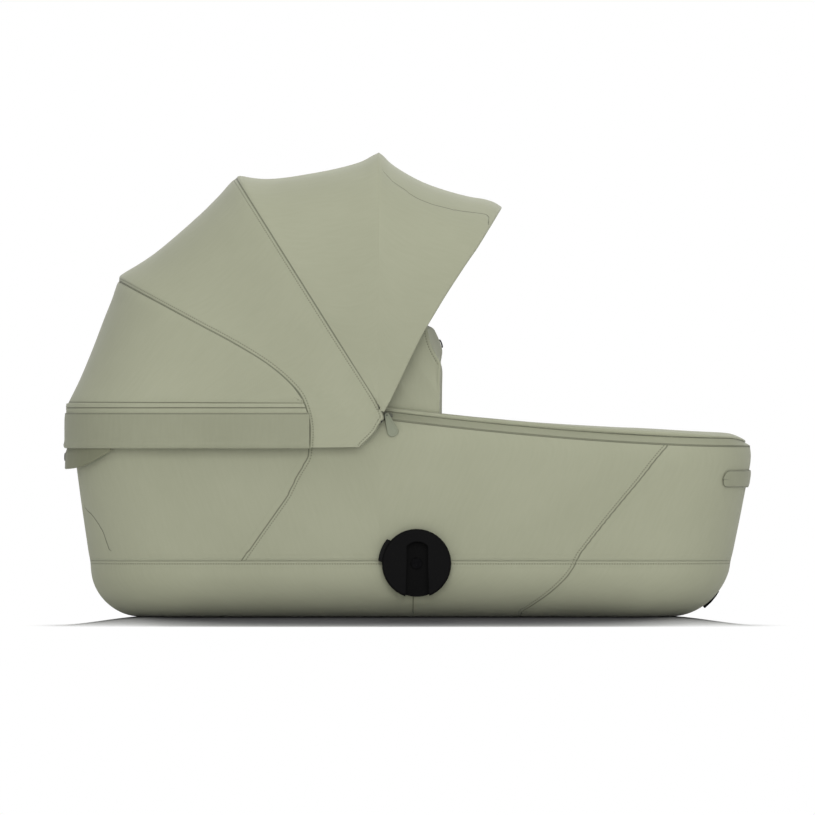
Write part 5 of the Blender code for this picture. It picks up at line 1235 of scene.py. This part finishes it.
cloth_piece("zip_band", tape_grid, ZIP_TAPE, band_polyester, "tub", ["zip_tape"], "sage_band", "stretched",
            ["tub_side_cloth"], turned=(0, 0), seams=tape_seams)


# Slider and pull: a small slider painted olive on the near side, with a moulded sage rubber paddle
# that has a raised rim and swings on the slider's pin.
painted_zinc = moulded_plastic("painted_zinc_olive", "#55574A", "#5C5E50", 0.4, relief=0.00002, shine=0.3)
dress(["zip_slider"], painted_zinc, 0.0005)

PULL_PIN = (-0.0241667, 0.2342455)     # x and height of the slider's pin
PULL_TILT, PULL_TOP, PULL_END, PULL_REACH = 20.0, 0.003, 0.007, 0.019    # degrees, two radii, length
PULL_NARROWEST = -0.0024
pull_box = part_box("zip_pull")


def pull_outline(grow):
    """Outline of the paddle, hanging from its pin, narrow at the top."""
    top, end = PULL_TOP + grow, PULL_END + grow
    lean = math.asin((PULL_END - PULL_TOP) / PULL_REACH)
    points = [(top * math.cos(a), top * math.sin(a)) for a in np.linspace(-lean, math.pi + lean, 17)]
    points += [(end * math.cos(a), end * math.sin(a) - PULL_REACH)
               for a in np.linspace(math.pi + lean, math.tau - lean, 25)]
    return points


def paddle_mesh(name):
    """Flat paddle with a raised rim on both faces."""
    inner, outer = pull_box[0].y, pull_box[1].y
    middle, half = (inner + outer) / 2, (outer - inner) / 2
    tilt = math.radians(PULL_TILT)
    edge = ((PULL_NARROWEST, 0.55), (-0.0021, 0.6), (-0.0015, 1.0), (-0.0004, 1.0), (0.0, 0.7))
    loops = edge + tuple((grow, -depth) for grow, depth in edge[::-1])
    points, faces = [], []
    for grow, depth in loops:
        for x, z in pull_outline(grow):
            points.append((PULL_PIN[0] + x * math.cos(tilt) - z * math.sin(tilt), middle - depth * half,
                           PULL_PIN[1] + x * math.sin(tilt) + z * math.cos(tilt)))
    count = len(pull_outline(0.0))
    for ring in range(len(loops) - 1):
        for at in range(count):
            after = (at + 1) % count
            here, there = ring * count, (ring + 1) * count
            faces.append((here + at, here + after, there + after, there + at))
    faces += [tuple(reversed(range(count))), tuple(range((len(loops) - 1) * count, len(loops) * count))]
    mesh = bpy.data.meshes.new(name)
    mesh.from_pydata(points, [], faces)
    mesh.update()
    return mesh


pull_rubber = moulded_plastic("moulded_rubber_sage", "#868B76", "#8E937E", 0.55)
fit("zip_paddle", paddle_mesh("zip_paddle"), pull_rubber, "zip_pull", ["zip_pull"])


# Wind flap: a doubled panel of the cloth that stands across the apron's head edge, stitched all
# round, with a black tag near its top. The wings draw its upper sides back, so that it bellies.
FLAP_X, FLAP_TOP_Z, FLAP_CLOTH = 0.0393, 0.3385, 0.0025
FLAP_MIDDLE = ((0.236, 0.0398), (0.266, 0.0401), (0.2858, 0.0404), (0.2955, 0.0386), (0.301, 0.0394),
               (0.3092, 0.0403), (0.318, 0.0383), (0.3247, 0.0355), (0.3315, 0.0323), (0.3357, 0.0296),
               (0.3385, 0.0241))      # height and x of its middle, as creased
FLAP_SIDE = ((0.236, 0.0366), (0.286, 0.0382), (0.2955, 0.0378), (0.3006, 0.0352), (0.3083, 0.0310),
             (0.3178, 0.0268), (0.3272, 0.0242), (0.3385, 0.0224))
FLAP_INSET = 0.004
FLAP_CLEAR = 0.0006      # between the apron and the flap's lower edge
FLAP_WAVE, FLAP_WAVE_PITCH = 0.0007, 0.0105
FLAP_TAG_LOW_Z, FLAP_TAG_HIGH_Z = 0.3135, 0.3225


def flap_half_width(x):
    """Half width of the apron where the flap and its wings stand."""
    return apron_extent(x)[1] - FLAP_INSET


def profile_x(z, places):
    """x of a standing profile at a height."""
    line = smooth_line(places, 8)
    return np.interp(z, line[:, 0], line[:, 1])


half_flap = float(flap_half_width(np.array(FLAP_X)))
flap_rows = []
for share in np.linspace(-1, 1, 97):
    y = share * half_flap
    low = float(apron_top(np.array(FLAP_X - FLAP_CLOTH), np.array(y))) + FLAP_CLEAR
    z = low + (FLAP_TOP_Z - low) * np.linspace(0, 1, 60)
    belly = 1 - abs(share) ** 2.4
    x = profile_x(z, FLAP_SIDE) + (profile_x(z, FLAP_MIDDLE) - profile_x(z, FLAP_SIDE)) * belly
    wave = FLAP_WAVE * np.sin((z - low) / FLAP_WAVE_PITCH + 2.5 * share) * np.clip((z - low) / 0.03, 0, 1)
    wave = wave * (1 - belly ** 4)
    flap_rows.append(np.stack([x - np.abs(wave), 0 * z + y, z], axis=1))
flap_grid = np.array(flap_rows).transpose(1, 0, 2)
flap_seams = [(flap_grid[-1], "edge")]
flap_inward = outward(flap_grid, False, False)[20, 40, 0] < 0
cloth_piece("wind_flap_cloth", flap_grid, FLAP_CLOTH, sage_polyester, "wind_flap", ["wind_flap"],
            "sage_cloth", "hung", ["apron_cloth"], inward=flap_inward, seams=flap_seams)

flap_tag_grid = tag_grid(FLAP_TAG_LOW_Z, FLAP_TAG_HIGH_Z,
                         lambda z: float(profile_x(z, FLAP_MIDDLE)) + TAG_PROUD)
cloth_piece("flap_tag_ribbon", flap_tag_grid, TAG_CLOTH, tag_polyester, "wind_flap", ["flap_tag"],
            "black_tag", "stretched", ["wind_flap_cloth"])


# Wings of the wind flap: a gusset of the cloth on each side, from the hinge to the flap's edge, in
# soft upright folds. On the cot they are pressed flat on the apron when the flap folds down; here they stay
# standing on the tub.
WING_BACK_X = -0.0265
WING_FOLD, WING_FOLD_PITCH = 0.0011, 0.017
wing_edge = smooth_line(FLAP_SIDE[2:], 8)
wing_front_x = FLAP_X - FLAP_CLOTH
for side, word in ((1, "left"), (-1, "right")):
    wing_rows = []
    for share in 1 - np.linspace(1, 0, 44) ** 1.5:
        x = WING_BACK_X + (wing_front_x - WING_BACK_X) * share
        high = float(np.interp(x, wing_edge[::-1, 1] - 0.0005, wing_edge[::-1, 0]))
        y = float(flap_half_width(np.array(max(x, APRON_TAIL_X))))
        low = float(apron_top(np.array(x), np.array(y - FLAP_CLOTH))) + FLAP_CLEAR
        z = low + (high - low) * np.linspace(0, 1, 40)
        hollow = WING_FOLD * np.abs(np.sin((z - low) / WING_FOLD_PITCH + 5 * share))
        hollow = hollow * np.clip((z - low) / 0.03, 0, 1)
        wing_rows.append(np.stack([0 * z + x, side * (y - hollow), z], axis=1))
    wing_grid = np.array(wing_rows).transpose(1, 0, 2)
    wing_seams = [(wing_grid[-1], "edge")]
    wing = cloth_piece("wind_flap_gusset_" + word, wing_grid, FLAP_CLOTH, sage_polyester, "tub",
                       ["wind_flap_wing_" + word], "sage_cloth", "hung", ["apron_cloth", "wind_flap_cloth"],
                       inward=side > 0, seams=wing_seams)
    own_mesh(wing)


# Foot strap: a folded strip of the band cloth sewn across the foot end as a grab handle, with
# rounded ends that stand a little off the tub.
STRAP_LOW_Z, STRAP_HIGH_Z, STRAP_END_X, STRAP_PROUD = 0.1507, 0.1700, 0.3648, 0.0016
STRAP_CLOTH, STRAP_CROWN, STRAP_LEAN = 0.0014, 0.0010, 0.0005
strap_middle = (STRAP_LOW_Z + STRAP_HIGH_Z) / 2
strap_half = (STRAP_HIGH_Z - STRAP_LOW_Z) / 2
foot_x, wall_half, wall_corner = (float(value) for value in tub_extent(np.array(strap_middle))[1:])
end_angle = math.acos((STRAP_END_X - (foot_x - wall_corner)) / wall_corner)
corner_run = wall_corner * end_angle
straight_run = wall_half - wall_corner


def strap_point(run, z, proud):
    """Place on the foot wall at a distance along the strap from the middle."""
    foot, half_width, corner = (float(value) for value in tub_extent(np.array(z), COVER, -proud)[1:])
    straight = half_width - corner
    turn = max(abs(run) - straight_run, 0) / corner_run * end_angle
    if turn <= 0:
        return foot, run / straight_run * straight, z
    out = math.copysign(straight + corner * math.sin(turn), run)
    return foot - corner + corner * math.cos(turn), out, z


strap_length = straight_run + corner_run
strap_rows = []
for up in np.linspace(-1, 1, 13):
    row = []
    for along in np.linspace(-1, 1, 141):
        run = along * strap_length
        left = strap_length - abs(run)
        narrow = math.sqrt(max(1 - max(1 - left / (strap_half * 0.9), 0) ** 2, 0.0001))
        lift = STRAP_PROUD + STRAP_CROWN * (1 - up ** 4) + STRAP_LEAN * (1 - up) * min(left / 0.012, 1)
        row.append(strap_point(run, strap_middle + up * strap_half * narrow, lift))
    strap_rows.append(row)
strap_grid = np.array(strap_rows)
strap_seams = [(strap_grid[-1], "plain"), (strap_grid[0], "plain")]
cloth_piece("foot_strap_cloth", strap_grid, STRAP_CLOTH, band_polyester, "tub", ["foot_strap"], "sage_band",
            "stretched", ["tub_side_cloth"], seams=strap_seams)


# Toe bumper: a small block of black thermoplastic rubber on the foot end's bottom corner, which
# takes the knocks when the carrycot is set down. It is matt, with a fine moulded grain.
bumper_rubber = moulded_plastic("thermoplastic_rubber_black", "#0A0A0B", "#101011", 0.62, shine=0.2)
dress(["toe_bumper"], bumper_rubber, 0.0006)


# Adapters: on each side a glass-filled nylon housing with a slot open at the bottom, over a plate
# that is screwed through the shell. They are satin black with a fine grain.
adapter_nylon = moulded_plastic("glass_filled_nylon_black", "#090909", "#0C0C0D", 0.5, shine=0.06)
plate_nylon = moulded_plastic("glass_filled_nylon_black_smooth", "#060606", "#090909", 0.55, shine=0.06)
for word in ("left", "right"):
    dress(["adapter_housing_" + word], adapter_nylon, 0.0004)
    dress(["adapter_plate_" + word], plate_nylon, 0.0003)
    dress(["adapter_screw_" + word], blackened_steel, 0.0002)
    dress(["adapter_nut_" + word], plated_steel, 0.0002)


# Release buttons: moulded tabs of the same nylon that stand out of each housing's edge. Each is
# pressed in against a small spring of steel wire, which shortens with the button on the cot; here it keeps
# its length on the tub.
button_nylon = moulded_plastic("glass_filled_nylon_graphite", "#0A0A0A", "#0E0E0E", 0.46, shine=0.08)
BUTTON_ANGLE, BUTTON_ROOT, BUTTON_POCKET = 158.0, 0.033, 0.022
SPRING_RADIUS, SPRING_WIRE, SPRING_TURNS = 0.0020, 0.0004, 3.5
SPRING_STEPS, WIRE_SIDES, SPRING_CLEAR = 84, 8, 0.0003


def spring_mesh(name, y):
    """Coil of round wire lying along the button's travel."""
    turn = math.radians(BUTTON_ANGLE)
    along = Vector((math.cos(turn), 0, math.sin(turn)))
    first, second = Vector((0, 1, 0)), along.cross(Vector((0, 1, 0)))
    start, end = BUTTON_POCKET + SPRING_WIRE + SPRING_CLEAR, BUTTON_ROOT - SPRING_CLEAR - SPRING_WIRE
    points = []
    for step in range(SPRING_STEPS + 1):
        angle = math.tau * SPRING_TURNS * step / SPRING_STEPS
        reach = start + (end - start) * step / SPRING_STEPS
        centre = Vector((COVER_HOLE[0], y, COVER_HOLE[1])) + along * reach
        points.append(centre + (first * math.cos(angle) + second * math.sin(angle)) * SPRING_RADIUS)
    return rod_mesh(name, np.array(points), SPRING_WIRE, WIRE_SIDES, np.array(along))


for word in ("left", "right"):
    dress(["release_button_" + word], button_nylon, 0.0006)
    low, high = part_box("button_spring_" + word)
    middle_y = (low.y + high.y) / 2
    spring_name = "return_spring_" + word
    spring = fit(spring_name, spring_mesh(spring_name, middle_y), plated_steel, "tub",
                 ["button_spring_" + word])
    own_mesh(spring)


# Studio: a white board with a low rise under the carrycot, a level soft light from the front and
# above, and a camera square to the side from far off, as a catalogue picture is taken.
RISE = 0.0105            # the board falls away by this much round the carrycot
RISE_REACH = 0.11
STAND_X, STAND_Y = 0.30, 0.13      # half length and half width of the flat place that it stands on
SHADE_X, SHADE_Y = 0.415, 0.262    # and of the painted shadow round it on the board
BOARD_TURNS, BOARD_NEAR, BOARD_FAR = 144, 0.7, 30
BOARD_LOW = 0.0004       # under the tub's base
LEVEL = 0.42             # of the world's light, at which a colour renders about as it is written


def studio_board(name):
    """Pale board with a painted shadow: grey round the carrycot, where it keeps light off, and plain white
    further off.
    """
    made, tree, shader = start_finish(name, {"Roughness": 0.95, "Specular IOR Level": 0.1})
    place = add(tree, "ShaderNodeTexCoord")["Object"]
    part = add(tree, "ShaderNodeSeparateXYZ", links={0: place})
    powers = []
    for at, reach in ((0, SHADE_X), (1, SHADE_Y)):
        share = add(tree, "ShaderNodeMath", {"operation": "DIVIDE", 1: reach}, {0: part[at]})[0]
        share = add(tree, "ShaderNodeMath", {"operation": "ABSOLUTE"}, {0: share})[0]
        powers.append(add(tree, "ShaderNodeMath", {"operation": "POWER", 1: 4.0}, {0: share})[0])
    far = add(tree, "ShaderNodeMath", {"operation": "ADD"}, {0: powers[0], 1: powers[1]})[0]
    far = add(tree, "ShaderNodeMath", {"operation": "POWER", 1: 0.25}, {0: far})[0]
    grain = add(tree, "ShaderNodeTexNoise", {"Scale": 40.0, "Detail": 2.0}, {"Vector": place})[0]
    far = add(tree, "ShaderNodeMath", {"operation": "MULTIPLY_ADD", 1: 0.02}, {0: grain, 2: far})[0]
    edge = {"interpolation_type": "SMOOTHSTEP", "From Min": 0.72, "From Max": 1.04}
    away = add(tree, "ShaderNodeMapRange", edge, {0: far})[0]
    # Painted shadow: grey #6E6E70 near the carrycot, fading to the white board further off.
    colours = {"data_type": "RGBA", 6: linear("#6E6E70"), 7: linear("#F6F6F6")}
    colour = add(tree, "ShaderNodeMix", colours, {0: away})[2]
    tree.links.new(colour, shader.inputs["Base Color"])
    edge = {"interpolation_type": "SMOOTHSTEP", "From Min": 0.9, "From Max": 1.1}
    clear = add(tree, "ShaderNodeMapRange", edge, {0: far})[0]
    rays = add(tree, "ShaderNodeLightPath")
    share = add(tree, "ShaderNodeMath", {"operation": "MULTIPLY"}, {0: clear, 1: rays["Is Camera Ray"]})[0]
    white = add(tree, "ShaderNodeEmission", {"Strength": 1.0})
    both = add(tree, "ShaderNodeMixShader", links={0: share, 1: shader.outputs[0], 2: white[0]})
    tree.links.new(both[0], tree.nodes["Material Output"].inputs[0])
    return made


reaches = np.concatenate([np.linspace(0, BOARD_NEAR, 71),
                          BOARD_NEAR * (BOARD_FAR / BOARD_NEAR) ** np.linspace(0.1, 1, 10)])
turns = np.arange(BOARD_TURNS) * math.tau / BOARD_TURNS
board_x, board_y = reaches[:, None] * np.cos(turns), reaches[:, None] * np.sin(turns)
outside = np.hypot(np.maximum(np.abs(board_x) - STAND_X, 0), np.maximum(np.abs(board_y) - STAND_Y, 0))
fall = np.clip(outside / RISE_REACH, 0, 1)
board_z = -BOARD_LOW - RISE * fall ** 2 * (3 - 2 * fall)
index = np.arange(board_x.size).reshape(board_x.shape)
beside = np.roll(index, -1, 1)
quads = np.stack([index[:-1], index[1:], beside[1:], beside[:-1]], axis=2).reshape(-1, 4)
board_mesh = bpy.data.meshes.new("studio_board")
board_mesh.from_pydata(np.stack([board_x, board_y, board_z], axis=2)[1:].reshape(-1, 3).tolist(), [],
                       [list(range(BOARD_TURNS))] + (quads[BOARD_TURNS:] - BOARD_TURNS).tolist())
board_mesh.shade_smooth()
board = bpy.data.objects.new("studio_board", board_mesh)
bpy.context.scene.collection.objects.link(board)
board_mesh.materials.append(studio_board("studio_board_painted_shadow"))

world = bpy.data.worlds.new("studio")
bpy.context.scene.world = world
world.use_nodes = True
sky = world.node_tree
seen = add(sky, "ShaderNodeLightPath")["Is Camera Ray"]
fill = sky.nodes["Background"]
fill.inputs[0].default_value = (1.0, 1.0, 1.0, 1.0)
fill.inputs[1].default_value = LEVEL
white = add(sky, "ShaderNodeBackground", {0: (1.0, 1.0, 1.0, 1.0), 1: 1.0})
both = add(sky, "ShaderNodeMixShader", links={0: seen, 1: fill.outputs[0], 2: white[0]})
sky.links.new(both[0], sky.nodes["World Output"].inputs[0])


def soft_light(name, place, aim, width, height, power):
    """Soft box at a place, aimed at a point of the carrycot."""
    lamp = bpy.data.lights.new(name, "AREA")
    lamp.shape = "RECTANGLE"
    lamp.size, lamp.size_y, lamp.energy = width, height, power
    lit = bpy.data.objects.new(name, lamp)
    bpy.context.scene.collection.objects.link(lit)
    lit.location = place
    lit.rotation_euler = (Vector(aim) - Vector(place)).to_track_quat("-Z", "Y").to_euler()


soft_light("front_box", (0.2, -3.2, 1.2), (0, 0, 0.22), 2.4, 1.8, 38)
soft_light("top_box", (0.1, -0.2, 3.0), (0, 0, 0.1), 2.6, 2.6, 36)
soft_light("back_box", (0.4, 2.6, 1.8), (0, 0, 0.25), 2.2, 1.6, 22)

camera_lens = bpy.data.cameras.new("side_view")
camera_lens.lens = 1500
camera_lens.sensor_width = 36
camera_lens.clip_end = 100
camera = bpy.data.objects.new("side_view", camera_lens)
bpy.context.scene.collection.objects.link(camera)
camera.location = (-0.0003, -39.611, 0.2433)
camera.rotation_euler = (math.radians(90), 0, 0)
bpy.context.scene.camera = camera
bpy.context.scene.view_settings.view_transform = "Standard"
